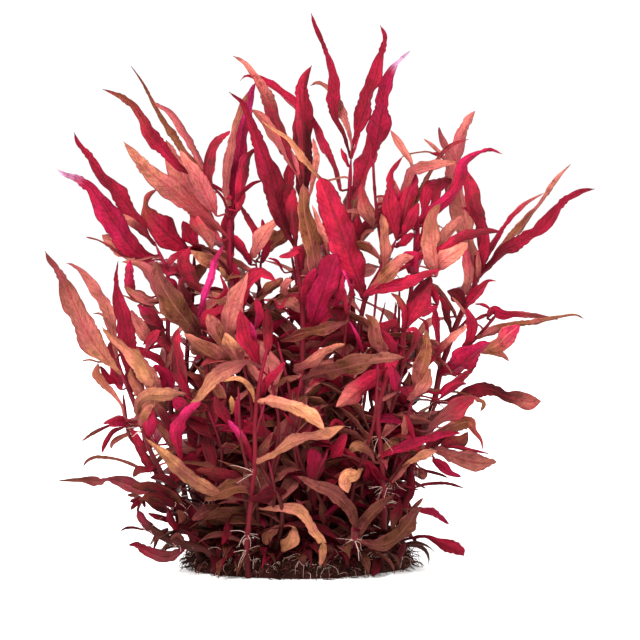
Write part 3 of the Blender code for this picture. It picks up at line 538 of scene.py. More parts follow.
# Leaves: the stem that carries the leaf, how far its tip lies behind its foot and how far
# its middle bows back, both in millimetres, its turn about its own length in degrees, its
# finish, then points from foot to tip as the distance right of the middle, the height seen
# from the front and the width, all in millimetres
LEAVES = {
    "leaf_top_crest": ("stem_centre_tall", 22, 5, 20, "crimson", [
        (15, 205, 1.5), (13.5, 210.5, 1.5), (11.5, 217, 2.5), (8, 224.5, 3.5), (6.5, 233.5, 6),
        (7.5, 241.5, 6.5), (6.5, 248, 4), (3, 257.5, 2.5), (0.5, 264.5, 2.5), (-2.5, 271, 2), (-4.5, 277, 0.5)]),
    "leaf_top_right": ("stem_centre_tall", -24, -4, 15, "crimson", [
        (16, 205.5, 1.5), (17, 212.5, 2), (19.5, 220, 5), (22, 228.5, 7.5), (24.5, 237, 8),
        (27.5, 245, 6.5), (29.5, 252.5, 4.5), (31.5, 259.5, 4), (32.5, 265.5, 2.5), (30, 271, 0.5)]),
    "leaf_pale_tip": ("stem_centre_right_fork", 28, 3, 10, "magenta", [
        (26.5, 204.5, 1.5), (27.5, 208.5, 4.5), (28.5, 213.5, 8.5), (30, 222, 10), (31, 229.5, 8.5),
        (32, 237, 6.5), (34, 245, 5), (36.5, 249.5, 4), (40, 253.5, 2), (45, 258, 1)]),
    "leaf_centre_upright": ("stem_centre", 24, 4, 12, "maroon", [
        (-9.5, 179.5, 2), (-8.5, 186, 5.5), (-8, 201, 10), (-8, 216, 11), (-8.5, 231, 10),
        (-8.5, 239.5, 7), (-7, 245.5, 4), (-4, 251, 1)]),
    "leaf_centre_long": ("stem_centre", -18, -6, 10, "crimson", [
        (-13, 160.5, 2), (-16.5, 167.5, 5), (-19.5, 176, 9), (-22.5, 186, 10), (-25, 196, 11),
        (-28.5, 206, 9), (-32, 214.5, 6), (-35, 223.5, 4), (-38.5, 231.5, 3), (-45.5, 237.5, 0.5)]),
    "leaf_left_upright": ("stem_left_centre", 24, 4, 20, "magenta", [
        (-45, 170.5, 2.5), (-44, 178.5, 6), (-43, 186, 6.5), (-41.5, 197.5, 6.5), (-40, 208.5, 7),
        (-38.5, 218.5, 7), (-36.5, 228.5, 6), (-34.5, 236.5, 4.5), (-32, 242.5, 1)]),
    "leaf_upper_left_thin": ("stem_left_centre_fork", 30, 2, 40, "maroon", [
        (-57.5, 193.5, 1), (-61.5, 199.5, 3), (-67, 207, 3.5), (-72, 214, 3.5), (-77.5, 222.5, 3),
        (-83, 231.5, 2.2), (-88, 241.5, 1.4), (-94.5, 250.5, 0.5)]),
    "leaf_upper_left": ("stem_left_centre_fork", -22, -3, 15, "crimson", [
        (-58, 193, 1), (-65, 196.5, 2), (-71, 200.5, 4.5), (-76, 206, 7.5), (-81, 212, 9),
        (-85.5, 218, 8), (-89.5, 225, 6), (-93.5, 231, 4), (-100, 235.5, 3.5), (-109, 239, 0.5)]),
    "leaf_left_salmon": ("stem_left_centre", -26, -4, 12, "salmon", [
        (-46, 163.5, 1.5), (-54, 172.5, 4.5), (-61, 178.5, 9), (-68, 184, 11), (-75, 189.5, 12),
        (-81.5, 194.5, 10), (-87.5, 200, 7.5), (-93, 206.5, 5), (-98.5, 213, 0.5)]),
    "leaf_left_crimson": ("stem_left_upper", 16, 4, 12, "crimson", [
        (-82.5, 162, 1.5), (-86.5, 166.5, 2.5), (-91, 173.5, 7), (-96.5, 181, 10), (-102, 187.5, 10),
        (-107, 193.5, 8), (-111.5, 199.5, 5.5), (-116, 205.5, 4.5), (-120.5, 211.5, 3.5), (-123, 217.5, 0.5)]),
    "leaf_left_lilac_tip": ("stem_left_upper", -24, -4, 10, "magenta", [
        (-80, 155.5, 1.5), (-87, 154.5, 3.5), (-92, 157.5, 7.5), (-96.5, 162.5, 11), (-101, 169, 12),
        (-106, 176.5, 10.5), (-110.5, 183.5, 8), (-114, 188.5, 5.5), (-118, 192, 4.5), (-123, 195, 3),
        (-128, 196.5, 2), (-131.5, 199, 0.5)]),
    "leaf_far_left": ("stem_left_front", -18, -4, 8, "salmon", [
        (-99, 95.5, 1.5), (-102.5, 99, 3.5), (-108, 105, 8.5), (-113.5, 112.5, 12), (-117.5, 118.5, 13.5),
        (-120.5, 125.5, 12.5), (-123.5, 132.5, 10.5), (-127, 140.5, 8), (-131.5, 148.5, 5), (-135, 153.5, 3),
        (-137.5, 158, 0.5)]),
    "leaf_left_curled": ("stem_left_front", 24, 8, 15, "salmon", [
        (-101.5, 104.5, 1.5), (-102.5, 110.5, 3.5), (-103.5, 116.5, 5), (-105, 124.5, 7), (-107.5, 131.5, 7.5),
        (-111.5, 138, 7), (-115.5, 143.5, 5.5), (-119.5, 148, 3.5), (-123.5, 151, 2), (-127, 152, 0.5)]),
    "leaf_left_bright": ("stem_left_front", -18, -6, 10, "crimson", [
        (-94.5, 86.5, 2), (-95, 96, 5), (-96, 107.5, 8), (-97, 117.5, 8.5), (-98.5, 126, 8),
        (-100.5, 132.5, 6), (-101.5, 138.5, 3), (-102, 145, 2), (-101, 153, 0.5)]),
    "leaf_left_olive": ("stem_left_tall", -22, -8, 10, "olive", [
        (-57.5, 111, 2), (-62.5, 117, 8), (-68, 124.5, 11), (-73, 131, 12), (-77, 137.5, 10),
        (-80, 143.5, 7), (-81.5, 149.5, 3.5), (-81.5, 153.5, 0.5)]),
    "leaf_centre_broad": ("stem_centre_right", -24, -6, 10, "crimson", [
        (22.5, 133.5, 2), (19, 143.5, 9), (16, 151.5, 13), (12.5, 161, 15), (9, 171, 14),
        (6, 179.5, 12), (3, 187, 10), (1, 192.5, 6), (0, 195.5, 1)]),
    "leaf_centre_magenta": ("stem_centre", -26, -5, 8, "magenta", [
        (-8.5, 116.5, 1.5), (-4, 122.5, 7), (-1, 130.5, 11), (1.5, 138.5, 12), (4, 146, 12),
        (6, 152, 9), (8.5, 156.5, 1.5)]),
    "leaf_front_long": ("stem_centre", -46, -10, 20, "olive", [
        (-9, 94, 2), (-1, 96.5, 7), (7.5, 98.5, 9), (16, 100.5, 9), (24, 102.5, 8),
        (31.5, 104, 6), (37.5, 104.5, 3.5), (42.5, 105, 0.5)]),
    "leaf_front_gold": ("stem_front_red", -24, -6, 15, "gold", [
        (-31.5, 82.5, 2), (-25, 82.5, 5), (-19, 81.5, 6.5), (-12.5, 80, 7), (-7, 77, 7),
        (-2.5, 73, 6), (2.5, 68.5, 0.5)]),
    "leaf_front_orange": ("stem_front_red", -20, -5, 15, "gold", [
        (-32.5, 52, 2.5), (-26, 55, 3.5), (-21, 58, 3.5), (-15, 61.5, 5.5), (-8.5, 64, 7),
        (-1, 66, 7), (6, 68, 4.5), (12.5, 70.5, 0.5)]),
    "leaf_front_arched": ("stem_front_red", -20, -8, 15, "salmon", [
        (-29, 99.5, 1.5), (-36, 102.5, 2.5), (-42.5, 100.5, 6), (-49, 97.5, 7.5), (-54.5, 93.5, 7),
        (-58, 88.5, 5.5), (-61, 84.5, 3), (-65, 82, 0.5)]),
    "leaf_left_folded": ("stem_left_front", -16, -8, 12, "gold", [
        (-90, 73, 1.5), (-91.5, 78, 3), (-90, 83, 4.5), (-86, 85.5, 7), (-80, 86, 7),
        (-73.5, 86.5, 4.5), (-66.5, 86.5, 0.5)]),
    "leaf_low_left_orange": ("stem_front_red", -12, -6, 12, "salmon", [
        (-34.5, 33, 1.5), (-41, 34, 2), (-47, 35.5, 4.5), (-54, 38, 7), (-61.5, 42, 9),
        (-68.5, 47.5, 9.5), (-75, 53, 8.5), (-81, 59, 4.5), (-87.5, 64.5, 0.5)]),
    "leaf_low_left_long": ("stem_left_low", -6, 0, 15, "crimson", [
        (-79.5, 38.5, 2), (-85, 39, 6), (-91.5, 40, 7), (-97.5, 42, 6), (-103, 43.5, 4),
        (-106.5, 44, 2), (-110, 43, 4.5), (-115, 43.5, 4.5), (-120, 43.5, 2), (-125, 43.5, 2), (-131.5, 43, 0.5)]),
    "leaf_ground_left": ("stem_left_bent", -16, -5, 10, "crimson", [
        (-67, 10.5, 1.5), (-71.5, 7, 4), (-77.5, 5, 6.5), (-83, 6.5, 5.5), (-87.5, 9, 4.5),
        (-91.5, 11, 3), (-96, 11, 0.5)]),
    "leaf_low_right_brown": ("stem_front_short", -14, -6, 12, "olive", [
        (18, 13.5, 2), (25, 11.5, 4.5), (32.5, 11.5, 6.5), (39, 15.5, 7.5), (44, 21.5, 7.5),
        (47.5, 26.5, 4.5), (51, 30.5, 0.5)]),
    "leaf_low_right_wavy": ("stem_right_main", -16, -4, 12, "crimson", [
        (40.5, 13, 1), (47, 14.5, 1.5), (53, 15, 2.5), (58, 13, 4.5), (63, 11, 5.5),
        (67.5, 9, 6), (70.5, 7, 4), (72, 5.5, 1.5)]),
    "leaf_right_blunt": ("stem_lower_right", -12, -4, 12, "salmon", [
        (57, 58.5, 2.5), (63.5, 56.5, 6.5), (70, 54, 9), (76, 52.5, 9), (82, 52, 6),
        (86, 52.5, 4), (88.5, 52.5, 1.5)]),
    "leaf_right_wavy": ("stem_right_main", -14, -4, 10, "maroon", [
        (58, 82, 1.5), (64.5, 83, 3.5), (71, 85, 5.5), (77, 87.5, 6.5), (82.5, 89, 6.5),
        (87, 88.5, 6), (92.5, 85.5, 6), (99, 84, 7), (105, 82.5, 7), (110.5, 83, 2.5)]),
    "leaf_right_magenta": ("stem_right_main", -40, -8, 20, "magenta", [
        (60, 96, 3), (65.5, 98, 8), (70.5, 101.5, 12), (74.5, 105.5, 11), (78.5, 108.5, 7.5),
        (82, 111, 4.5), (85, 112.5, 1)]),
    "leaf_far_right_low": ("stem_right_side_shoot", -14, -7, 20, "olive", [
        (77.5, 114, 1.5), (82.5, 116, 3), (88, 118.5, 5), (94, 120.5, 4.5), (100, 121.5, 3),
        (106, 122, 3), (112.5, 123.5, 2.5), (120, 125, 2), (127.5, 126, 1), (132, 124, 0.5)]),
    "leaf_far_right_high": ("stem_right_main", -22, -4, 12, "crimson", [
        (78, 143, 1.5), (83, 148.5, 3), (87, 152.5, 4), (91.5, 158, 6), (97, 161, 6.5),
        (103, 164.5, 6), (108.5, 167.5, 6), (112.5, 171.5, 6.5), (117, 177, 5), (122.5, 183, 4),
        (129, 187, 3), (133, 188.5, 2), (137.5, 189, 0.5)]),
    "leaf_right_thin": ("stem_right_main", 26, 2, 45, "olive", [
        (78, 147, 1), (85, 152.5, 1.5), (90.5, 159.5, 2.5), (96, 165, 4), (99.5, 168.5, 4.5),
        (103.5, 174, 3), (108.5, 179.5, 2.5), (113.5, 186.5, 2.5), (119, 194.5, 2), (125.5, 201.5, 0.5)]),
    "leaf_upper_right_bent": ("stem_right_red", -22, -5, 15, "magenta", [
        (47, 168.5, 1.5), (53, 175.5, 4.5), (59, 180, 5), (64.5, 184.5, 6), (68.5, 189.5, 6.5),
        (70.5, 196, 5.5), (71.5, 201.5, 4.5), (75.5, 205, 3.5), (80.5, 207.5, 2.5), (85.5, 208.5, 2),
        (91, 206.5, 0.5)]),
}

# %% [markdown]
# The stems stand on the root mat, a low cushion of matted roots. Its outline wanders a
# little, and its side is a rounded profile. The same rule gives the height of its top, so
# that every stem's foot can be set on it.

# %% The root mat's shape
MAT_HALF_X, MAT_HALF_Y, MAT_HEIGHT, MAT_CENTRE_X = 0.0555, 0.0390, 0.0115, -0.0115
MAT_PROFILE = [(0.97, 0.0), (1.00, 0.22), (0.97, 0.55), (0.88, 0.80), (0.66, 0.94), (0.34, 1.0)]


def mat_outline(angle):
    """Radius factor of the mat's uneven outline at an angle."""
    return 1.0 + 0.035 * np.sin(3 * angle + 0.6) + 0.025 * np.sin(5 * angle + 2.1)


def mat_height(x, y):
    """Height of the mat's top: the profile read at the share of the outline reached."""
    u, v = (x - MAT_CENTRE_X) / MAT_HALF_X, y / MAT_HALF_Y
    reach = np.hypot(u, v) / mat_outline(np.arctan2(v, u))
    shares = [0.0] + [share for share, _ in reversed(MAT_PROFILE)][:-1]
    heights = [1.0] + [height for _, height in reversed(MAT_PROFILE)][:-1]
    return MAT_HEIGHT * np.interp(reach, shares, heights, right=0.0)


# %% Stem centre lines


def stem_line(name):
    """Centre line and radius of a stem: a smooth curve through its seen places, which starts
    on the mat, or inside the stem that it forks from."""
    parent, foot_radius, tip_radius, rows = STEMS[name]
    places = seen_places(*np.array(rows, dtype=float).T)
    if parent is None:
        places[0, 2] = mat_height(places[0, 0], places[0, 1]) - 0.001
    else:
        carrier = stem_line(parent)[0]
        places[0] = carrier[np.linalg.norm(carrier - places[0], axis=1).argmin()]
    path = smooth_curve(places, 240)
    return path, np.linspace(foot_radius, tip_radius, len(path)) * MM


stem_lines = {name: stem_line(name) for name in STEMS}
print("longest stem:", round(max(length_of(path) for path, _ in stem_lines.values()) * 1000), "mm")

# %% [markdown]
# A stem is a round profile carried along its centre line. A bevelled curve would do that
# too, but here the rings can swell at each node, where a pair of leaves sits, and thin out
# at the growing tip.

# %% Tubes
NODE_STEP = 0.017
STEM_SIDES = 12


def tube_skin(paths, radii, sides, tints, swell=None):
    """Round tubes on a grid of strands by rings by sides: centre plus radius times the sum
    of cosine along one side vector and sine along the other."""
    along = directions(paths)
    mean = np.abs(along.mean(axis=1))
    axis = np.eye(3)[mean.argmin(axis=1)][:, None, :]
    side = unit(np.cross(along, np.broadcast_to(axis, along.shape)))
    other = np.cross(along, side)
    angle = np.linspace(0, 2 * np.pi, sides, endpoint=False)
    round_part = (np.cos(angle)[:, None] * side[:, :, None, :]
                  + np.sin(angle)[:, None] * other[:, :, None, :])
    points = paths[:, :, None, :] + radii[:, :, None, None] * round_part
    walked = np.concatenate([np.zeros((len(paths), 1)),
                             np.cumsum(np.linalg.norm(np.diff(paths, axis=1), axis=2), axis=1)], axis=1)
    across = np.broadcast_to(np.abs(np.linspace(-1, 1, sides, endpoint=False)), points.shape[:3])
    along_cm = np.broadcast_to((walked * 100)[:, :, None], points.shape[:3])
    tint = np.broadcast_to(np.append(tints, np.ones(tints.shape[:2] + (1,)), axis=2)[:, :, None, :],
                           points.shape[:3] + (4,))
    return points, np.stack([across, along_cm], axis=-1), tint


RED_STEMS = {"stem_front_red": 0.05, "stem_right_red": 0.04, "stem_left_bent": -0.06}


def stem_tint(height, share):
    """Brown at the roots, then dark red, and crimson at the growing tip."""
    low = blend(TONES["bark"] * 0.8, TONES["maroon"], step_up(0.01, 0.08, height))
    red = blend(low, TONES["crimson"] * 0.5, step_up(0.05, 0.17, height))
    return blend(red, TONES["magenta"] * 0.7, 0.5 * step_up(0.75, 1.0, share))


def stem_skin(path, radius, redder=0.0):
    """Skin of one stem, with swollen nodes and a tip that closes. A redder stem has the
    colour that others have higher up."""
    count = max(12, int(length_of(path) / 0.0018))
    row = resampled(np.column_stack([path, radius]), count)
    share = np.linspace(0.0, 1.0, count)
    walked = share * length_of(path)
    to_node = np.abs((walked / NODE_STEP) % 1.0 - 0.5) * NODE_STEP
    swollen = 1.0 + 0.20 * np.exp(-((to_node / 0.0012) ** 2))
    narrow = 1.0 - 0.65 * step_up(0.95, 1.0, share)
    wobble = 1.0 + 0.04 * np.sin(walked * 900 + path[0, 0] * 4000)
    radii = row[:, 3] * swollen * narrow * wobble
    tints = stem_tint(row[:, 2] + redder, share) * (1.0 - 0.35 * np.exp(-((to_node / 0.0010) ** 2)))[:, None]
    return tube_skin(row[None, :, :3], radii[None], STEM_SIDES, tints[None])


total = 0
for name, (path, radius) in stem_lines.items():
    skin = stem_skin(path, radius, RED_STEMS.get(name, 0.0))
    total += triangles(add_piece("skin_" + name, [skin], stem_finish, [name]))
print("stems:", len(stem_lines), "with", total, "triangles")

# %% [markdown]
# A blade is thin, folded along its midrib, ruffled at its rims and pointed at both ends,
# and it sits on a short round stalk. A flat plane with a leaf picture would look right from
# one side only. Here a closed ring, flat like a lens, is carried along the blade's curve:
# the fold, the ruffle and the rib are added to it as heights.

# %% Blades
FINE_ACROSS = np.array([-1.0, -0.93, -0.62, -0.30, -0.09, 0.0, 0.09, 0.30, 0.62, 0.93, 1.0])
PLAIN_ACROSS = np.array([-1.0, -0.88, 0.0, 0.88, 1.0])
MEDIUM_ACROSS = np.array([-1.0, -0.90, -0.45, 0.0, 0.45, 0.90, 1.0])
CRINKLE_STEP, CRINKLE = 0.0046, 0.00026
FOOT_ENDS = {"salmon": 0.62, "gold": 0.50, "olive": 0.50}
# Where a tip's tone starts and ends, and its share there, where that differs from the rule
TIP_STRETCH = {("magenta", "lilac"): (0.68, 0.88, 1.0), ("maroon", "salmon"): (0.62, 0.98, 0.9)}
FRONT_AXIS = np.array([0.0, 1.0, 0.0])
UP_AXIS = np.array([0.0, 0.0, 1.0])


def ring_of(across):
    """Once round a flat ring: places across it, and +1 on its upper or -1 on its lower side."""
    around = np.concatenate([across, across[-2:0:-1]])
    upper = np.concatenate([np.ones(len(across)), -np.ones(len(across) - 2)])
    upper[[0, len(across) - 1]] = 0.0
    return around, upper


def blade_tint(share, around, main, tip, foot, shift, light, lean):
    """Main tone with the foot tone below and the tip tone above, which the shift moves. The last channel is how light
    the leaf is, with painted light on one half of the fold and painted shade on the other."""
    low, high, most = TIP_STRETCH.get((main, tip), (0.50, 0.96, 0.85))
    colour = blend(TONES[main], TONES[tip], most * step_up(low, high, share + shift))
    foot_end = FOOT_ENDS.get(main, 0.34)
    colour = blend(colour, TONES[foot], 0.75 * (1 - step_up(0.3 * foot_end, foot_end, share + shift)))
    colour = np.broadcast_to(colour[:, None, :], (len(share), len(around), 3))
    painted_fold_light = np.broadcast_to(light * (1 + lean * np.tanh(5 * around))[None, :], colour.shape[:2])
    return np.append(colour, painted_fold_light[..., None], axis=2)


def blade_skin(path, width, turn, axis, across, rings, tones, wild=1.0, fold=0.28, light=None):
    """Closed blade. A point is the centre line, plus half the width times its place across,
    plus a height off the blade: the fold grows with the distance from the midrib, the
    ruffle is a wave along the rim that differs on the two rims, and the rib is a narrow
    ridge. Slow lobes and a fine crinkle change the width along each rim. The upper and
    lower side lie half the thickness above and below that."""
    row = resampled(np.column_stack([path, width]), rings)
    share = np.linspace(0.0, 1.0, rings)
    long = length_of(path)
    along = directions(row)
    flat = unit(np.cross(along, axis))
    twist = np.radians(turn) + wild * rng.uniform(-0.5, 0.5) * (share - 0.4)
    side = np.cos(twist)[:, None] * flat + np.sin(twist)[:, None] * np.cross(along, flat)
    face = np.cross(side, along)
    around, upper = ring_of(across)
    half = row[:, 3] / 2 / np.cos(np.radians(turn))
    half = np.maximum(half, 0.0005) * (1 - 0.75 * step_up(0.96, 1.0, share))
    off = np.abs(around)
    waves = max(1.5, long / 0.017) * rng.uniform(0.85, 1.15)
    phase = rng.uniform(0, 2 * np.pi, 4)
    run = 2 * np.pi * waves * share[:, None] + np.where(around > 0, phase[0], phase[1])[None, :]
    slow = 2 * np.pi * waves * 0.37 * share[:, None] + np.where(around > 0, phase[2], phase[3])[None, :]
    full = np.minimum(half / 0.004, 1.0)[:, None]
    ruffle = wild * half[:, None] * full * (0.17 * np.sin(run) + 0.18 * np.sin(slow)) * off ** 1.5
    rise = half[:, None] * (fold * off ** 1.25)[None, :] + ruffle
    lobes = 0.11 * np.sin(run * 0.73 + 1.0) + 0.09 * np.sin(slow * 1.9 + 2.0)
    fine = 2 * np.pi * long / CRINKLE_STEP * share[:, None] + np.where(around > 0, phase[1], phase[2])[None, :]
    bumps = np.sin(fine + 2.4 * np.sin(fine * 0.29)) * (0.55 + 0.45 * np.sin(fine * 0.17)) + 0.7 * np.sin(fine * 0.53)
    crinkle = np.minimum(CRINKLE / half, 0.12)[:, None] * bumps
    wide = half[:, None] * around * (1 + (wild * lobes + crinkle) * off ** 2)
    stalk = 1 - step_up(0.0, 0.16, share)
    thick = (0.00012 + 0.00034 * stalk)[:, None] * np.sqrt(np.maximum(1 - around ** 2, 0.0))
    ridge = 0.00028 * np.exp(-((around * half[:, None] / 0.0006) ** 2)) * full
    height = rise + thick * upper - ridge * np.where(upper > 0, 0.6, 1.3)
    points = (row[:, None, :3] + wide[..., None] * side[:, None, :] + height[..., None] * face[:, None, :])
    along_cm = np.broadcast_to((share * long * 100)[:, None], wide.shape)
    places = np.stack([np.broadcast_to((around + 1) / 2, wide.shape), along_cm], axis=-1)
    light = rng.uniform(0.84, 1.16) if light is None else light
    # Painted fold shading: one half of the blade a little lighter, the other a little darker.
    lean = 0.14 if phase[0] > np.pi else -0.14
    tint = blade_tint(share, around, *tones, rng.uniform(-0.12, 0.12), light, lean)
    return points[None], places[None], tint[None]


def stalk_from(path, carrier, lead=0.006):
    """The path with its first stretch bent over to start at the middle of its carrier."""
    gap = np.linalg.norm(carrier - path[0], axis=1) + 0.5 * np.maximum(0, carrier[:, 2] - path[0, 2])
    nearest = int(gap.argmin())
    start, rising = carrier[nearest], directions(carrier)[nearest]
    reach = float(np.linalg.norm(path[0] - start))
    if reach < 1e-5:
        return path, 0.0
    t = np.linspace(0.0, 1.0, 14, endpoint=False)[:, None]
    leave = unit(rising + unit(path[0] - start)) * reach
    arrive = directions(path)[0] * reach
    bend = ((2 * t ** 3 - 3 * t ** 2 + 1) * start + (t ** 3 - 2 * t ** 2 + t) * leave
            + (3 * t ** 2 - 2 * t ** 3) * path[0] + (t ** 3 - t ** 2) * arrive)
    return np.vstack([bend, path]), reach


# %% The main leaves
LEAF_TIPS = {
    "leaf_pale_tip": "lilac", "leaf_left_lilac_tip": "lilac", "leaf_upper_left_thin": "olive",
    "leaf_left_upright": "pink",
    "leaf_upper_left": "olive", "leaf_left_salmon": "salmon", "leaf_far_left": "salmon",
    "leaf_centre_upright": "crimson", "leaf_front_long": "salmon", "leaf_right_thin": "salmon",
    "leaf_left_olive": "salmon", "leaf_low_left_long": "olive", "leaf_far_right_low": "olive",
    "leaf_low_right_brown": "salmon", "leaf_right_wavy": "salmon", "leaf_low_left_orange": "gold",
}
# How much lighter or darker than its tone a main leaf is: partly its own colour, partly painted light and shade for
# where it sits in the clump
LEAF_TONE_AND_SHADE = {
    "leaf_top_crest": 0.74, "leaf_top_right": 0.90, "leaf_pale_tip": 0.66, "leaf_centre_upright": 0.85,
    "leaf_centre_long": 0.60, "leaf_left_upright": 0.64, "leaf_upper_left": 0.82,
    "leaf_left_salmon": 0.80, "leaf_left_crimson": 0.68, "leaf_left_lilac_tip": 0.76,
    "leaf_far_left": 0.80, "leaf_left_curled": 0.90, "leaf_left_bright": 0.60, "leaf_left_olive": 0.58,
    "leaf_centre_broad": 1.15, "leaf_centre_magenta": 0.72, "leaf_front_long": 0.60,
    "leaf_front_gold": 0.96, "leaf_front_orange": 0.66, "leaf_front_arched": 0.60,
    "leaf_left_folded": 0.52, "leaf_low_left_orange": 0.42, "leaf_low_left_long": 0.66,
    "leaf_ground_left": 0.45, "leaf_low_right_brown": 0.37, "leaf_low_right_wavy": 0.62,
    "leaf_right_blunt": 0.52, "leaf_right_wavy": 0.80, "leaf_right_magenta": 0.98,
    "leaf_far_right_high": 0.70, "leaf_upper_right_bent": 0.92,
}
# How much wilder the margin of a main leaf is
LEAF_WILD = {"leaf_low_left_orange": 2.3, "leaf_far_left": 1.7, "leaf_right_wavy": 1.6, "leaf_front_orange": 1.7, "leaf_left_crimson": 1.5,
             "leaf_top_right": 1.5, "leaf_pale_tip": 1.4, "leaf_far_right_low": 1.6, "leaf_low_right_wavy": 1.7,
             "leaf_front_gold": 1.4, "leaf_centre_long": 1.4}
# Main leaves that the photo shows slimmer than their solids, and by how much
LEAF_SLIM = {
    "leaf_upper_left": 0.78, "leaf_left_crimson": 0.76, 
    "leaf_left_salmon": 0.86, "leaf_far_left": 0.86, "leaf_left_curled": 0.82,
    "leaf_centre_upright": 0.86, "leaf_centre_long": 0.92, "leaf_low_left_orange": 0.74,
}
LEAF_FEET = {"gold": "salmon", "salmon": "rose", "olive": "rose", "crimson": "maroon",
             "magenta": "crimson", "maroon": "maroon", "pink": "magenta", "amber": "gold",
             "rose": "crimson"}
# Main leaves whose three tones, of the middle, the tip and the foot, differ from that rule
LEAF_TONES = {
    "leaf_low_right_brown": ("olive", "olive", "rose"), "leaf_left_olive": ("olive", "olive", "rose"),
    "leaf_front_orange": ("salmon", "amber", "gold"), "leaf_left_folded": ("gold", "salmon", "rose"),
    "leaf_low_left_orange": ("gold", "amber", "rose"), "leaf_far_left": ("salmon", "maroon", "gold"),
    "leaf_left_salmon": ("salmon", "amber", "crimson"), "leaf_front_arched": ("salmon", "gold", "rose"),
    "leaf_upper_left_thin": ("olive", "maroon", "olive"), "leaf_left_curled": ("salmon", "rose", "salmon"),
    "leaf_ground_left": ("rose", "crimson", "maroon"), "leaf_low_left_long": ("rose", "olive", "crimson"),
}


def leaf_line(name):
    """Centre line and width of a main leaf. Its depth starts at its stem, and goes on to its
    tip's depth with a bow. The first quarter is shifted so that it starts in the stem."""
    carrier_name, tip_back, bow_back, _, _, rows = LEAVES[name]
    carrier = stem_lines[carrier_name][0]
    flat = smooth_curve(rows, 200)
    share = np.linspace(0.0, 1.0, len(flat))
    foot = seen_places(rows[0][0], rows[0][1], 0.0)
    nearest = 0
    for _ in range(3):
        nearest = int(np.hypot(carrier[:, 0] - foot[0], carrier[:, 2] - foot[2]).argmin())
        foot = seen_places(rows[0][0], rows[0][1], carrier[nearest, 1] / MM)
    depth = carrier[nearest, 1] / MM + tip_back * share + bow_back * np.sin(np.pi * share)
    path = seen_places(flat[:, 0], flat[:, 1], depth)
    path += (carrier[nearest] - path[0]) * np.clip(1.0 - share / 0.25, 0.0, 1.0)[:, None]
    return path, flat[:, 2] * MM


total = 0
for name, (_, _, _, turn, tone, _) in LEAVES.items():
    path, width = leaf_line(name)
    width = width * LEAF_SLIM.get(name, 1.0)
    tones = LEAF_TONES.get(name, (tone, LEAF_TIPS.get(name, tone), LEAF_FEET[tone]))
    rings = int(np.clip(length_of(path) / 0.0007, 40, 100))
    skin = blade_skin(path, width, turn, FRONT_AXIS, FINE_ACROSS, rings, tones, wild=LEAF_WILD.get(name, 1.15),
                      light=LEAF_TONE_AND_SHADE.get(name, 1.0))
    piece = add_piece("blade_" + name[5:], [skin], leaf_finishes[tone], [name])
    total += triangles(piece)
print("main leaves:", len(LEAVES), "with", total, "triangles")

# %% Thin inner stems
INNER_STEMS = 52


def inner_line():
    """Centre line of a thin stem that rises from a place on the mat and leans outwards."""
    angle, reach = rng.uniform(0, 2 * np.pi), 0.95 * math.sqrt(rng.uniform(0.02, 1.0))
    foot = np.array([MAT_CENTRE_X + 0.86 * MAT_HALF_X * reach * math.cos(angle),
                     0.86 * MAT_HALF_Y * reach * math.sin(angle), 0.0])
    foot[2] = mat_height(foot[0], foot[1]) - 0.001
    height = rng.uniform(0.045, 0.150) if foot[1] > -0.01 else rng.uniform(0.05, 0.115)
    lean = np.array([(foot[0] - MAT_CENTRE_X) * rng.uniform(0.2, 0.7),
                     foot[1] * rng.uniform(0.3, 0.9), height])
    sway = np.array([rng.uniform(-0.006, 0.006), rng.uniform(-0.004, 0.004), 0.0])
    return smooth_curve([foot, foot + lean * (0.3, 0.3, 0.33) + sway,
                         foot + lean * (0.7, 0.7, 0.68) - sway, foot + lean], 160)


inner_lines = [inner_line() for _ in range(INNER_STEMS)]
thin_stems = [stem_skin(path, np.linspace(rng.uniform(0.0010, 0.0014), 0.0006, 160)) for path in inner_lines]
add_piece("thin_inner_stems", thin_stems, stem_finish)
print("thin inner stems:", INNER_STEMS)

# %% [markdown]
# Between the main leaves the clump is full of smaller ones. Each row below is one of them:
# its tone, the tone of its tip, how far its tip lies behind its foot, and then the places
# that it passes with its width there, foot first. Each grows from the nearest stem on a
# thin stalk. They are joined by finish, so that the scene stays easy to handle.

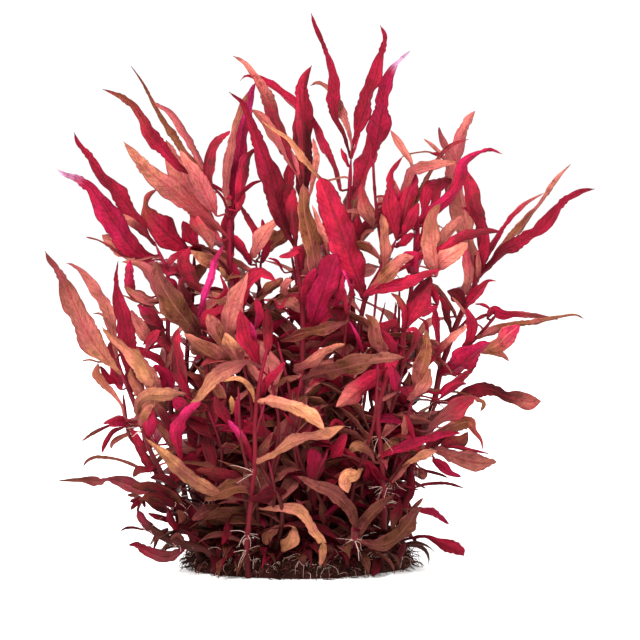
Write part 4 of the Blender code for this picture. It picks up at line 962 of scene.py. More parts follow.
# %% The smaller leaves
SMALL_LEAVES = [
    # crown, left
    ("rose", "rose", 14, [(-55, 186, 1.5), (-56.5, 193.5, 3.5), (-61.5, 206, 4), (-69, 219.5, 4),
        (-74, 226.5, 3.5), (-83, 232.5, 1.5)]),
    ("rose", "salmon", 18, [(-50, 163.5, 2), (-57.5, 176, 8), (-64, 187, 12), (-69, 196, 11),
        (-74, 206, 7), (-77, 213.5, 1.5)]),
    ("crimson", "olive", -16, [(-64, 157, 2), (-70, 161.5, 8), (-77.5, 167.5, 13), (-84, 174.5, 10),
        (-87, 180.5, 3), (-86, 185.5, 2.5), (-81.5, 189, 1)]),
    ("crimson", "crimson", -10, [(-61, 157.5, 2), (-64, 162.5, 8), (-66.5, 167.5, 7.5),
        (-68.5, 173, 1.5)]),
    ("salmon", "salmon", 14, [(-94, 153.5, 2), (-99, 157.5, 6.5), (-104, 162.5, 6), (-109, 166, 1)]),
    ("maroon", "olive", 8, [(-90, 152.5, 1), (-96, 154, 1.5), (-104, 159.5, 1.5), (-110, 163, 1),
        (-117, 165, 0.5)]),
    ("olive", "olive", 5, [(-84, 154.5, 1.5), (-90, 153, 2.5), (-99, 152.5, 0.5)]),
    ("rose", "salmon", -6, [(-81, 133.5, 1.5), (-82.5, 138.5, 4.5), (-84, 143.5, 7), (-87, 148.5, 6),
        (-92, 151.5, 3), (-98.5, 152.5, 1)]),
    ("maroon", "magenta", -8, [(-91.5, 134.5, 2), (-94.5, 138.5, 5), (-95.5, 146, 5),
        (-95, 153.5, 1.5)]),
    ("olive", "olive", -4, [(-81, 134, 1.5), (-90, 133.5, 2.5), (-99, 136, 0.5)]),
    ("olive", "olive", -8, [(-80, 133.5, 1.5), (-86.5, 133.5, 2.5), (-91.5, 130.5, 1)]),
    ("olive", "maroon", 6, [(-85, 114.5, 2), (-90, 120.5, 4.5), (-94.5, 126.5, 1.5)]),
    ("crimson", "maroon", -6, [(-79.5, 118, 1.5), (-85, 116, 2.5), (-88.5, 111, 1)]),
    ("crimson", "crimson", -4, [(-76, 105.5, 1.5), (-78, 111, 3), (-82, 110, 2.5), (-87.5, 108.5, 1)]),
    ("salmon", "olive", -14, [(-81, 86, 2.5), (-84, 92.5, 8), (-88.5, 99.5, 7), (-93.5, 105, 5.5),
        (-99, 109.5, 4), (-105, 114.5, 2.5), (-109, 120, 1)]),
    ("crimson", "crimson", -12, [(-78, 100, 2), (-82.5, 103, 5), (-87.5, 106, 5.5), (-94, 109, 3),
        (-101.5, 112, 1)]),
    ("magenta", "magenta", -16, [(-78.5, 89, 2), (-76.5, 91, 5.5), (-79, 97, 6), (-83.5, 100.5, 1.5)]),
    ("salmon", "olive", -5, [(-97.5, 74.5, 1.5), (-99.5, 81, 1.5), (-103, 85.5, 2.5), (-108, 91, 4.5),
        (-111.5, 96.5, 4.5), (-111, 102, 1.5)]),
    ("crimson", "maroon", -6, [(-102, 92.5, 2), (-106, 95, 4), (-110, 100.5, 1)]),
    ("crimson", "maroon", 10, [(-99, 89.5, 2.5), (-101.5, 97.5, 7.5), (-103.5, 104.5, 7),
        (-104.5, 113, 2)]),
    ("maroon", "crimson", -6, [(-58.5, 137.5, 2), (-65, 144.5, 7), (-68, 152.5, 7), (-65, 159.5, 1.5)]),
    ("maroon", "maroon", 6, [(-60, 126, 2.5), (-67, 134.5, 7), (-74, 141, 1.5)]),
    ("pink", "pink", -14, [(-60.5, 125.5, 1.5), (-58, 132.5, 3), (-56, 138.5, 3.5), (-54, 144.5, 3.5),
        (-52, 152.5, 3), (-48.5, 160.5, 1)]),
    ("crimson", "maroon", -12, [(-61, 119.5, 2.5), (-57.5, 123.5, 7.5), (-52.5, 127.5, 4),
        (-47, 129.5, 5), (-42, 131.5, 1.5)]),
    ("olive", "olive", 4, [(-106, 123.5, 1), (-110, 126.5, 1), (-113.5, 126.5, 0.5)]),
    ("olive", "olive", 3, [(-111.5, 102.5, 1), (-115, 103.5, 1), (-119, 103, 0.5)]),
    # crown, middle
    ("maroon", "salmon", 18, [(-14, 202.5, 1.5), (-18, 212.5, 4.5), (-22, 222.5, 6), (-26, 233, 6.5),
        (-30, 242, 4.5), (-34.5, 248.5, 3), (-39, 253, 2), (-43.5, 255.5, 0.5)]),
    ("crimson", "crimson", 34, [(10, 188.5, 1.5), (7.5, 198.5, 2.5), (4, 205, 4), (0.5, 213, 4.5),
        (-3.5, 221.5, 4), (-8, 227, 4), (-12.5, 230.5, 4.5), (-18.5, 236, 5), (-25, 240.5, 4.5),
        (-31, 244, 3), (-37, 245.5, 1.3), (-40, 243, 0.5)]),
    ("crimson", "maroon", 10, [(-41, 178.5, 2), (-39.5, 186, 5), (-38.5, 196, 5), (-36.5, 203.5, 4.5),
        (-32, 209.5, 1.5)]),
    ("maroon", "crimson", 10, [(-44.5, 154.5, 2.5), (-45, 163.5, 6.5), (-45.5, 172.5, 6.5),
        (-45.5, 179.5, 1.5)]),
    ("salmon", "olive", -14, [(-45, 181, 2), (-47, 188.5, 4), (-46, 198.5, 4), (-44.5, 208.5, 4),
        (-42, 219.5, 3.5), (-38.5, 231, 2.5), (-36, 237.5, 1)]),
    ("gold", "gold", -18, [(0.5, 194, 1.5), (-4.5, 199.5, 2.5), (-8.5, 204.5, 3.5), (-12.5, 210.5, 3),
        (-17, 215, 2.5), (-23.5, 219, 1.5), (-29, 223, 0.5)]),
    ("maroon", "olive", 16, [(-10.5, 195.5, 2), (-15, 203.5, 4), (-20, 212, 4), (-26, 218.5, 1)]),
    ("maroon", "crimson", 8, [(-54.5, 190.5, 2), (-56, 196, 5.5), (-56, 202.5, 5.5), (-54, 208.5, 5),
        (-50, 214.5, 4), (-45, 218, 1.5)]),
    ("crimson", "crimson", -8, [(-44.5, 177, 1.5), (-42.5, 182, 2), (-39, 187.5, 2), (-34, 192, 2),
        (-28, 193.5, 0.5)]),
    ("crimson", "crimson", 8, [(-44.5, 184.5, 1.5), (-49, 188, 2), (-55, 192, 1)]),
    ("crimson", "maroon", -8, [(-30.5, 156, 1.5), (-31, 163.5, 3), (-33, 168.5, 3.5), (-36.5, 174.5, 3),
        (-40, 181, 1)]),
    ("crimson", "crimson", -12, [(-35, 151, 2.5), (-39.5, 159.5, 5), (-43, 166, 1.5)]),
    ("crimson", "crimson", -4, [(-28.5, 152.5, 2), (-27, 159.5, 4), (-27.5, 167, 4), (-29, 174, 1)]),
    ("salmon", "salmon", -14, [(-34.5, 154.5, 2.5), (-29, 163.5, 7), (-25, 169.5, 6.5),
        (-19.5, 174, 1.5)]),
    ("olive", "olive", 6, [(-29, 156, 2.5), (-24, 161, 6), (-18.5, 165.5, 6), (-17.5, 170.5, 1)]),
    ("maroon", "crimson", 12, [(-18, 173.5, 2.5), (-18, 181, 7), (-15.5, 191, 7), (-15.5, 202, 2)]),
    ("maroon", "crimson", 16, [(-9, 183.5, 1), (-8.5, 196, 2), (-9, 213.5, 3.5), (-10, 226, 3.5),
        (-11, 238, 1)]),
    ("salmon", "salmon", 34, [(15.5, 212.5, 1), (13.5, 220.5, 3), (10.5, 228.5, 4), (7.5, 234.5, 3),
        (4, 239.5, 2.5), (-1, 242, 1.7), (-5, 240.5, 0.5)]),
    ("salmon", "salmon", 8, [(-7, 181, 1), (-4, 191, 2), (-2, 203.5, 3.5), (-3.5, 214.5, 1)]),
    ("crimson", "maroon", -6, [(42.5, 119.5, 2), (45, 126.5, 7.5), (49, 134, 10), (53.5, 141.5, 6),
        (55.5, 145.5, 1.5)]),
    ("olive", "olive", -12, [(-2.5, 146, 2.5), (-3.5, 153.5, 7), (-5, 163.5, 8), (-7.5, 173.5, 8),
        (-8.5, 183.5, 5.5), (-8.5, 191.5, 1.5)]),
    ("salmon", "salmon", -18, [(4, 157.5, 1.5), (2.5, 163.5, 3), (-1, 172.5, 3), (-4, 181, 1)]),
    ("crimson", "crimson", -10, [(-8.5, 149.5, 1.5), (-10, 158.5, 4), (-15, 156.5, 4), (-20.5, 155, 1)]),
    ("crimson", "crimson", -8, [(-18, 147.5, 1), (-21.5, 153, 1.5), (-26, 154.5, 0.5)]),
    ("crimson", "crimson", -6, [(52.5, 141.5, 2), (55.5, 138.5, 4), (58, 134, 3.5), (59, 130.5, 1)]),
    ("crimson", "crimson", 22, [(17, 184.5, 2), (19, 189.5, 4.5), (21.5, 195.5, 7.5), (24, 202.5, 9),
        (26, 211, 7), (28, 221, 5), (30, 233.5, 1.5)]),
    ("crimson", "crimson", -4, [(14.5, 200.5, 1.5), (12.5, 205.5, 2.5), (10.5, 209.5, 1)]),
    ("crimson", "crimson", -5, [(16, 204.5, 1), (17.5, 210, 1.5), (20, 217, 0.5)]),
    ("salmon", "salmon", 10, [(41.5, 171, 1), (43.5, 181, 1), (45.5, 191, 1), (45.5, 201, 1.5),
        (42, 207.5, 3.5), (39, 212.5, 3.5), (35, 218.5, 1)]),
    ("salmon", "salmon", -4, [(51, 207.5, 0.5), (45.5, 206.5, 1), (41, 205, 1)]),
    ("crimson", "magenta", -12, [(-3.5, 131, 2.5), (-6, 136, 7), (-5.5, 143.5, 7), (-2, 149.5, 1.5)]),
    ("magenta", "magenta", -16, [(7.5, 131, 2), (9.5, 138.5, 4), (11.5, 146, 1)]),
    ("crimson", "crimson", -14, [(14, 125.5, 1.5), (12.5, 134.5, 3), (11, 142.5, 1)]),
    ("magenta", "pink", -18, [(17.5, 136, 1), (15, 141, 1.5), (11.5, 148.5, 0.5)]),
    ("salmon", "salmon", -12, [(25, 173.5, 1.5), (18, 178, 2), (11.5, 177.5, 1)]),
    ("salmon", "crimson", -14, [(26.5, 170.5, 2.5), (23.5, 178.5, 7), (21.5, 185.5, 5),
        (20.5, 191.5, 1)]),
    ("crimson", "crimson", -10, [(16, 163.5, 2), (19, 170.5, 5), (19, 176.5, 1.5)]),
    ("salmon", "olive", -12, [(20, 162.5, 1.5), (23, 167.5, 2), (27, 168, 1)]),
    ("salmon", "gold", -10, [(31.5, 146, 2), (32, 156, 6), (31.5, 166, 6.5), (30.5, 176.5, 1.5)]),
    ("crimson", "crimson", -12, [(38.5, 163.5, 2), (37, 171, 6), (34.5, 181, 9), (35, 188.5, 5),
        (35.5, 197, 2.5), (38, 201, 2), (41.5, 205.5, 0.5)]),
    ("magenta", "salmon", -6, [(37.5, 182, 1.5), (38.5, 186, 3), (37, 193.5, 1)]),
    ("crimson", "magenta", 10, [(38.5, 163.5, 2), (40.5, 171, 4.5), (42.5, 181, 8), (44.5, 189.5, 7.5),
        (47.5, 198.5, 1.5)]),
    ("crimson", "crimson", -8, [(38, 160, 2), (42.5, 163, 5), (46.5, 167, 2)]),
    ("olive", "salmon", -12, [(26, 139.5, 2), (30, 143, 4.5), (35, 147.5, 7), (40, 152, 6.5),
        (47, 155, 1.5)]),
    ("crimson", "crimson", -6, [(34, 145, 2), (41, 149, 3), (46, 152, 1)]),
    ("crimson", "crimson", -18, [(21.5, 135, 2), (26, 138, 4), (34, 140, 6), (42.5, 141.5, 6.5),
        (52.5, 146, 4), (60.5, 148.5, 1)]),
    ("crimson", "olive", -8, [(42, 118.5, 1.5), (42.5, 127.5, 3.5), (40, 134, 3), (35.5, 137, 1)]),
    # middle, left
    ("salmon", "salmon", -22, [(-46, 113.5, 2.5), (-45.5, 121, 7.5), (-44, 131, 10.5), (-40, 139.5, 6),
        (-36, 147.5, 1.5)]),
    ("salmon", "gold", -20, [(-44.5, 127.5, 2.5), (-50, 134, 4.5), (-54, 137.5, 1)]),
    ("olive", "olive", 8, [(-33, 147, 2), (-42.5, 151.5, 4.5), (-52.5, 156.5, 4.5), (-62.5, 161, 1)]),
    ("crimson", "maroon", -6, [(-41.5, 139.5, 1.5), (-42, 146.5, 3), (-43.5, 152.5, 1)]),
    ("crimson", "crimson", -12, [(-50.5, 134.5, 1.5), (-47.5, 138.5, 2.5), (-50, 146, 1)]),
    ("gold", "gold", -10, [(-46.5, 143.5, 1.5), (-48.5, 147.5, 2.5), (-50.5, 150, 0.5)]),
    ("crimson", "crimson", -18, [(-38.5, 128.5, 2), (-38, 136, 5), (-34.5, 142.5, 7), (-29, 146.5, 6),
        (-22, 143, 1.5)]),
    ("olive", "olive", -10, [(-30.5, 135, 2.5), (-25, 139.5, 6), (-18.5, 144.5, 1.5)]),
    ("salmon", "salmon", -16, [(-18.5, 136.5, 2.5), (-17, 141, 5), (-14, 143.5, 1.5)]),
    ("maroon", "crimson", -14, [(-17, 135, 1.5), (-20, 130.5, 2.5), (-22.5, 134.5, 1)]),
    ("magenta", "magenta", -14, [(-32, 120, 2), (-30.5, 127.5, 4.5), (-32, 134.5, 1.5)]),
    ("crimson", "crimson", -22, [(-30, 99.5, 2.5), (-34, 107, 6), (-37.5, 113.5, 6.5), (-39.5, 121, 6),
        (-40, 128.5, 1.5)]),
    ("olive", "gold", -20, [(-38.5, 100.5, 2.5), (-42, 105.5, 8), (-45, 111, 8), (-47.5, 117, 2)]),
    ("magenta", "pink", -18, [(-32.5, 110, 1.5), (-33, 116, 3), (-35, 122.5, 1)]),
    ("olive", "salmon", -16, [(-47, 102, 3), (-55.5, 106, 12), (-62, 111, 9.5), (-68, 116.5, 2)]),
    ("crimson", "crimson", -12, [(-52, 111.5, 1), (-56, 114, 1.5), (-60, 115.5, 0.5)]),
    ("maroon", "maroon", 4, [(-26, 107.5, 2.5), (-25.5, 118.5, 6.5), (-26, 129.5, 2)]),
    # crown, right
    ("rose", "salmon", 14, [(69.5, 199.5, 2), (68.5, 206, 5.5), (70.5, 213.5, 6), (74, 222.5, 4),
        (77.5, 228, 1)]),
    ("rose", "maroon", 6, [(68, 202.5, 1.5), (64, 208.5, 3.5), (61.5, 213.5, 3.5), (59.5, 220, 1)]),
    ("salmon", "salmon", -6, [(64, 203, 1.5), (60, 207, 2), (56.5, 210.5, 2), (52, 214, 0.5)]),
    ("crimson", "crimson", -4, [(63.5, 203.5, 1.5), (59, 206, 2), (55, 207, 0.5)]),
    ("olive", "crimson", 16, [(41, 166.5, 1.5), (45, 177, 2), (48, 184, 2.5), (51, 190.5, 2.5),
        (54.5, 197, 2), (58, 203, 2), (62.5, 208.5, 2), (67.5, 212, 1.5), (74.5, 214, 0.5)]),
    ("rose", "salmon", -12, [(40.5, 186, 2), (43.5, 192.5, 4.5), (46, 198.5, 5.5), (54, 200.5, 4.5),
        (62.5, 202, 4), (69, 202.5, 1)]),
    ("maroon", "crimson", -14, [(82, 148.5, 2), (81, 158.5, 4), (79, 171, 6), (76.5, 182, 8.5),
        (74, 191, 6.5), (71.5, 202, 1)]),
    ("crimson", "magenta", -6, [(80.5, 147.5, 1.5), (82, 156, 4), (81.5, 163.5, 5), (79.5, 172.5, 5),
        (75, 178.5, 3), (71, 179.5, 1)]),
    ("crimson", "maroon", -18, [(43.5, 150.5, 2), (50, 155.5, 3.5), (58, 157.5, 3), (64, 160.5, 4.5),
        (71, 165, 6), (79, 167, 4), (85, 168, 3), (91.5, 167.5, 1)]),
    ("magenta", "magenta", -16, [(45, 147.5, 3), (46.5, 152.5, 8), (49, 157.5, 2.5)]),
    ("salmon", "salmon", -8, [(59.5, 160, 2), (64, 165.5, 6), (68, 170.5, 6), (71, 175.5, 1.5)]),
    ("salmon", "gold", -10, [(58, 149.5, 2.5), (63.5, 154.5, 9), (69.5, 158.5, 7.5), (74, 162, 1.5)]),
    ("salmon", "olive", -16, [(58.5, 146, 2.5), (56.5, 156, 8), (55.5, 166, 9), (57, 174.5, 6),
        (60, 182, 1.5)]),
    ("crimson", "maroon", 6, [(51.5, 176, 2), (52.5, 183.5, 4.5), (54, 190, 8), (60, 191.5, 7.5),
        (66, 194, 1.5)]),
    ("crimson", "crimson", -6, [(41, 165, 2), (44, 171, 5), (47, 177.5, 5), (49.5, 182, 1.5)]),
    ("crimson", "crimson", -4, [(48, 156, 1.5), (48.5, 166, 2.5), (49, 174.5, 1)]),
    ("crimson", "crimson", -8, [(49.5, 158.5, 1.5), (51, 166, 3), (52, 172.5, 1)]),
    ("crimson", "salmon", 18, [(82, 151.5, 1.5), (85, 158.5, 2.5), (88.5, 165, 3), (92, 170.5, 2.5),
        (96.5, 176, 2.5), (103.5, 182.5, 2), (112, 187, 0.5)]),
    ("salmon", "magenta", -14, [(73, 137, 2), (74.5, 144.5, 6.5), (74, 152.5, 5.5), (73.5, 159.5, 2)]),
    ("salmon", "magenta", -10, [(79, 142.5, 1.5), (79.5, 150.5, 3), (79, 158.5, 1)]),
    ("crimson", "crimson", -16, [(72, 128, 2), (74, 132, 4.5), (77.5, 136, 6), (81, 140, 4.5),
        (84, 143, 2), (88, 143, 0.5)]),
    ("maroon", "maroon", -8, [(73, 129, 2), (70.5, 133.5, 5), (67.5, 137, 5.5), (63.5, 138, 1)]),
    ("salmon", "salmon", -10, [(75.5, 123.5, 1), (70, 131, 1.5), (66, 135, 0.5)]),
    ("crimson", "crimson", -12, [(71, 108.5, 2), (75.5, 116.5, 5), (75.5, 122.5, 5), (73, 129.5, 1.5)]),
    ("crimson", "crimson", -8, [(59, 99.5, 1), (59, 108.5, 1.5), (58.5, 117, 3), (57.5, 123.5, 3.5),
        (57, 132, 1)]),
    ("maroon", "crimson", -12, [(65.5, 117, 1.5), (63.5, 124.5, 3.5), (62.5, 130.5, 3.5),
        (59.5, 135.5, 1)]),
    ("crimson", "crimson", -10, [(58, 130, 2), (51, 127, 4), (46, 124, 1)]),
    ("crimson", "crimson", -6, [(53.5, 116.5, 1.5), (52.5, 122, 2), (48.5, 125, 0.5)]),
    ("maroon", "crimson", -14, [(41.5, 100.5, 1.5), (44.5, 106, 2.5), (47.5, 111.5, 3.5),
        (48.5, 116.5, 3), (46.5, 119, 2), (43, 118, 1)]),
    ("olive", "olive", -18, [(47.5, 87.5, 2.5), (49.5, 96, 7), (52, 103.5, 6.5), (53.5, 111, 4.5),
        (53, 118.5, 1.5)]),
    ("salmon", "olive", -14, [(45, 83.5, 2.5), (50, 87.5, 6.5), (53.5, 92.5, 6.5), (55, 99.5, 1.5)]),
    ("maroon", "crimson", -8, [(41, 118, 1.5), (37.5, 121, 4.5), (33, 121, 5), (28.5, 121.5, 1)]),
    ("crimson", "maroon", -10, [(39, 105, 2), (37, 108.5, 5), (33.5, 114.5, 5), (29.5, 119.5, 1)]),
    ("olive", "olive", -14, [(30.5, 105.5, 2.5), (28, 113.5, 8.5), (26.5, 122, 5), (22.5, 126.5, 1)]),
    ("crimson", "salmon", -12, [(83.5, 124.5, 1.5), (86.5, 128.5, 4), (91.5, 127, 4.5), (97.5, 127, 4),
        (105, 126.5, 3), (112.5, 125.5, 2), (119.5, 123.5, 0.5)]),
    ("olive", "magenta", -16, [(80, 107.5, 2), (88.5, 111, 8.5), (94, 116, 8.5), (100, 121, 1.5)]),
    ("olive", "salmon", -6, [(80, 107.5, 1.5), (86, 107.5, 3), (91, 106.5, 3), (94.5, 103, 1)]),
    ("maroon", "maroon", -4, [(86, 127, 1.5), (81, 125, 2), (76.5, 123, 0.5)]),
    ("crimson", "crimson", -5, [(86.5, 127.5, 1), (82, 131, 1.5), (77.5, 131.5, 0.5)]),
    # middle and front
    ("olive", "maroon", -20, [(14, 123, 1.5), (7.5, 121, 4), (0, 119, 6), (-10, 117, 6), (-20, 113, 1.5)]),
    ("salmon", "gold", -24, [(-11.5, 97, 2.5), (-7.5, 100, 6.5), (-1, 104.5, 6), (6, 109, 3),
        (12.5, 111.5, 1)]),
    ("magenta", "pink", -16, [(23, 104.5, 1), (21, 109.5, 1.5), (18.5, 116, 1.5), (15, 122.5, 0.5)]),
    ("magenta", "magenta", -12, [(38.5, 87.5, 2.5), (38, 93.5, 5.5), (36, 101, 1.5)]),
    ("crimson", "crimson", -22, [(-29, 86, 2), (-26.5, 92.5, 4.5), (-22, 98, 4), (-17, 102.5, 1)]),
    ("crimson", "crimson", -14, [(-36, 104.5, 1.5), (-40, 100.5, 2.5), (-47.5, 95.5, 1)]),
    ("amber", "amber", -18, [(-33, 82.5, 1.5), (-34, 87, 2.5), (-37, 91.5, 2.5), (-42.5, 94, 2.5),
        (-49, 93, 1)]),
    ("olive", "salmon", -16, [(-24, 89, 2), (-17.5, 94, 3.5), (-10, 95.5, 1.5)]),
    ("amber", "amber", -12, [(-44, 77, 1.5), (-44, 81.5, 3.5), (-44.5, 85.5, 1)]),
    ("magenta", "magenta", -16, [(-37, 62.5, 2), (-39.5, 69.5, 5), (-41, 77.5, 4), (-41, 84.5, 1.5)]),
    ("crimson", "maroon", -8, [(-45, 71.5, 2.5), (-49, 78.5, 6), (-52.5, 85.5, 1.5)]),
    ("magenta", "pink", -18, [(-69.5, 54.5, 2), (-71, 61, 5), (-71.5, 67.5, 6.5), (-69.5, 73.5, 6),
        (-65, 78.5, 5), (-59.5, 83, 1.5)]),
    ("crimson", "crimson", -10, [(-62.5, 60, 1.5), (-66, 62, 2.5), (-68.5, 63.5, 0.5)]),
    ("crimson", "crimson", -14, [(-64.5, 84.5, 1.5), (-67.5, 92.5, 3), (-71, 101, 1)]),
    ("magenta", "crimson", -12, [(-86.5, 64, 2.5), (-85.5, 72, 7), (-84, 79.5, 2)]),
    ("olive", "olive", -6, [(-73.5, 59, 2), (-77.5, 66, 4), (-82, 71.5, 1)]),
    ("crimson", "pink", -14, [(-33.5, 51, 2), (-37, 59.5, 4), (-41, 66.5, 4.5), (-46, 73.5, 1)]),
    ("olive", "crimson", -12, [(-32, 53.5, 2), (-28, 60.5, 4), (-23.5, 67.5, 1)]),
    ("crimson", "salmon", -16, [(33.5, 98.5, 2.5), (28, 94, 8), (21, 89, 9.5), (14, 83.5, 7),
        (8, 80, 1.5)]),
    ("maroon", "crimson", -10, [(-12, 68, 1), (-15, 73, 1.5), (-18, 77, 0.5)]),
    ("magenta", "crimson", -20, [(30, 55, 2), (37.5, 58.5, 4), (45, 61, 4.5), (55, 64.5, 4),
        (64, 66.5, 2.5), (71, 67, 0.5)]),
    ("olive", "gold", -12, [(27.5, 52.5, 1.5), (25.5, 57, 3), (22, 60, 4.5), (18, 60.5, 6), (14.5, 57.5, 1.5)]),
    ("amber", "amber", -20, [(21, 49, 1.5), (17.5, 46, 5.5), (13.5, 45.5, 7), (12, 41.5, 6), (14, 37, 1)]),
    ("crimson", "crimson", -10, [(21.5, 41.5, 1.5), (23.5, 45.5, 3), (23.5, 50.5, 1)]),
    ("crimson", "crimson", -14, [(5.5, 55.5, 2.5), (9.5, 61.5, 7), (13.5, 66.5, 1.5)]),
    ("maroon", "magenta", -10, [(-2.5, 29.5, 1.5), (-3.5, 41, 4), (-3.5, 48.5, 7), (-4, 54.5, 7.5),
        (-4.5, 59.5, 2)]),
    ("crimson", "crimson", -8, [(12, 70.5, 1.5), (8, 73, 2.5), (5, 70.5, 1)]),
    ("olive", "salmon", -16, [(20, 16.5, 2), (17, 23, 4), (14.5, 29, 5), (10, 34, 6), (4, 38, 6),
        (-4, 41.5, 4), (-11.5, 45.5, 1)]),
    ("salmon", "salmon", -8, [(40.5, 63, 1.5), (42, 68.5, 3.5), (42, 75.5, 1)]),
    ("crimson", "crimson", -10, [(47, 63, 2), (45, 71, 2.5), (43, 76, 0.5)]),
    ("salmon", "salmon", -6, [(38, 87.5, 1.5), (34, 85.5, 2.5), (28, 82.5, 1)]),
    # low, left
    ("crimson", "crimson", -6, [(-97, 73, 1.5), (-100, 75, 3), (-105, 73.5, 3), (-108.5, 71.5, 1)]),
    ("magenta", "crimson", -8, [(-97.5, 71.5, 1.5), (-102, 71.5, 3), (-106, 70.5, 1)]),
    ("maroon", "olive", -4, [(-104, 71.5, 1), (-110, 69, 2), (-115, 66, 1.5), (-119, 63, 0.5)]),
    ("maroon", "crimson", 4, [(-99, 69.5, 1.5), (-103.5, 67.5, 2.5), (-107, 62.5, 2.5), (-109, 57, 1)]),
    ("olive", "olive", -6, [(-95.5, 67, 1.5), (-100, 64.5, 2.5), (-103.5, 62, 2.5), (-104.5, 59, 1)]),
    ("olive", "olive", -10, [(-89, 49, 1.5), (-94.5, 51, 2), (-100, 53, 2), (-106.5, 54.5, 2),
        (-112.5, 54.5, 2), (-116, 53, 2), (-118.5, 50, 0.5)]),
    ("crimson", "olive", -6, [(-84, 49.5, 2), (-90, 47.5, 4.5), (-93.5, 45, 1.5)]),
    ("olive", "maroon", 3, [(-89.5, 34.5, 1.5), (-93.5, 35.5, 2.5), (-96.5, 36, 1)]),
    ("maroon", "maroon", -3, [(-89.5, 34.5, 1.5), (-93, 33.5, 2.5), (-95, 32.5, 1)]),
    ("crimson", "maroon", -5, [(-89.5, 34.5, 1.5), (-92.5, 31.5, 2.5), (-94.5, 28.5, 1)]),
    ("maroon", "maroon", 4, [(-89.5, 34.5, 1.5), (-88.5, 32, 2.5), (-87.5, 29.5, 1)]),
    ("maroon", "olive", -8, [(-71, 26, 2.5), (-81, 32, 6.5), (-88, 34.5, 2)]),
    ("maroon", "maroon", -3, [(-89, 19, 1), (-96, 20, 1.5), (-100, 18, 0.5)]),
    ("olive", "olive", -8, [(-67.5, 11, 1.5), (-71, 15.5, 3), (-75, 13.5, 1)]),
    ("salmon", "olive", -10, [(-68, 20, 2), (-69.5, 24.5, 4), (-71, 28.5, 1.5)]),
    ("maroon", "olive", -8, [(-69, 33.5, 2.5), (-78, 37.5, 6), (-86, 40, 5), (-94, 40, 1)]),
    ("crimson", "olive", 3, [(-79, 44.5, 2), (-83, 50.5, 4.5), (-85, 56, 1.5)]),
    ("maroon", "maroon", -6, [(-72, 39.5, 2.5), (-79, 43.5, 5.5), (-85, 44.5, 1.5)]),
    ("maroon", "olive", -10, [(-68, 29.5, 2), (-76, 33.5, 5), (-84, 35.5, 4), (-91, 33.5, 1)]),
    ("maroon", "crimson", -5, [(-73, 22.5, 2), (-80, 25, 3.5), (-86, 27, 1)]),
    ("maroon", "olive", 2, [(-76, 19, 1.5), (-81.5, 16, 2), (-85, 11, 0.5)]),
    ("olive", "maroon", -6, [(-78.5, 16.5, 1.5), (-82, 13, 2), (-83.5, 7.5, 0.5)]),
    ("crimson", "maroon", -8, [(-71, 18.5, 2), (-74.5, 23.5, 4), (-76, 29.5, 1.5)]),
    ("maroon", "maroon", -12, [(-63, 15.5, 2.5), (-69, 18.5, 5), (-74, 21, 1.5)]),
    ("crimson", "maroon", -12, [(-53, 18.5, 2), (-56, 26, 4.5), (-60, 31, 1.5)]),
    ("maroon", "olive", -14, [(-35, 39.5, 2.5), (-44, 43.5, 7.5), (-54, 46.5, 7), (-62, 48.5, 1.5)]),
    ("olive", "olive", -16, [(-31, 38.5, 2.5), (-39, 40, 8), (-49, 37.5, 7), (-57.5, 33.5, 2)]),
    ("maroon", "maroon", -12, [(-17, 37.5, 2.5), (-26, 35.5, 7.5), (-35, 33.5, 2)]),
    ("olive", "maroon", -14, [(-49, 29.5, 3), (-57, 27.5, 7), (-64, 23.5, 1.5)]),
    ("maroon", "crimson", -14, [(-44, 25.5, 2), (-47, 18.5, 4.5), (-49, 11, 1.5)]),
    ("olive", "olive", -8, [(-22, 20.5, 2.5), (-26, 16.5, 6), (-27, 11, 2)]),
    ("crimson", "crimson", -10, [(-4, 13.5, 1.5), (-8, 9.5, 3.5), (-10, 3.5, 1.5)]),
    ("maroon", "crimson", -12, [(21, 19.5, 2), (18, 13.5, 4.5), (16, 6, 1.5)]),
    ("crimson", "maroon", -10, [(32, 35.5, 2), (29, 29.5, 4), (26, 23.5, 1.5)]),
    ("maroon", "olive", -12, [(40, 33.5, 2), (38, 26, 4.5), (36, 18.5, 1.5)]),
    ("crimson", "crimson", -10, [(42, 68.5, 2), (46, 63.5, 4.5), (50, 57.5, 1.5)]),
    # low, right
    ("rose", "crimson", -14, [(54, 68.5, 2), (60, 74.5, 7), (66, 79, 9), (72.5, 83, 7), (77.5, 85, 2)]),
    ("olive", "crimson", -12, [(52.5, 65, 2), (60, 67.5, 4), (67.5, 70.5, 6), (74, 72.5, 6.5),
        (77, 68.5, 3), (80.5, 63.5, 1.5), (81.5, 58.5, 0.5)]),
    ("maroon", "olive", -8, [(60, 59, 2), (65, 61, 6), (71, 63.5, 6.5), (74, 67.5, 1.5)]),
    ("olive", "olive", -6, [(79, 83.5, 2), (81.5, 81.5, 3), (80, 77.5, 1)]),
    ("crimson", "crimson", -8, [(65, 60, 1.5), (70, 59.5, 2), (77.5, 58, 2), (84.5, 56.5, 0.5)]),
    ("crimson", "magenta", -8, [(57, 54, 2), (60.5, 50.5, 4.5), (65, 47, 3.5), (70.5, 45, 1)]),
    ("maroon", "maroon", -5, [(47.5, 48.5, 1.5), (54, 47.5, 1.5), (60, 46, 1.5), (64, 44.5, 0.5)]),
    ("olive", "olive", -6, [(50, 49.5, 2), (52, 46.5, 4.5), (52, 43.5, 1.5)]),
    ("amber", "salmon", -10, [(41.5, 51, 2), (47.5, 54.5, 4), (53.5, 57, 4), (58.5, 58, 1)]),
    ("maroon", "maroon", -6, [(48.5, 40, 1), (52.5, 41.5, 1.5), (60, 42, 1.5), (65, 41.5, 1.5),
        (72, 39.5, 0.5)]),
    ("olive", "olive", -4, [(46.5, 29.5, 1.5), (49, 32, 2.5), (51.5, 34.5, 1)]),
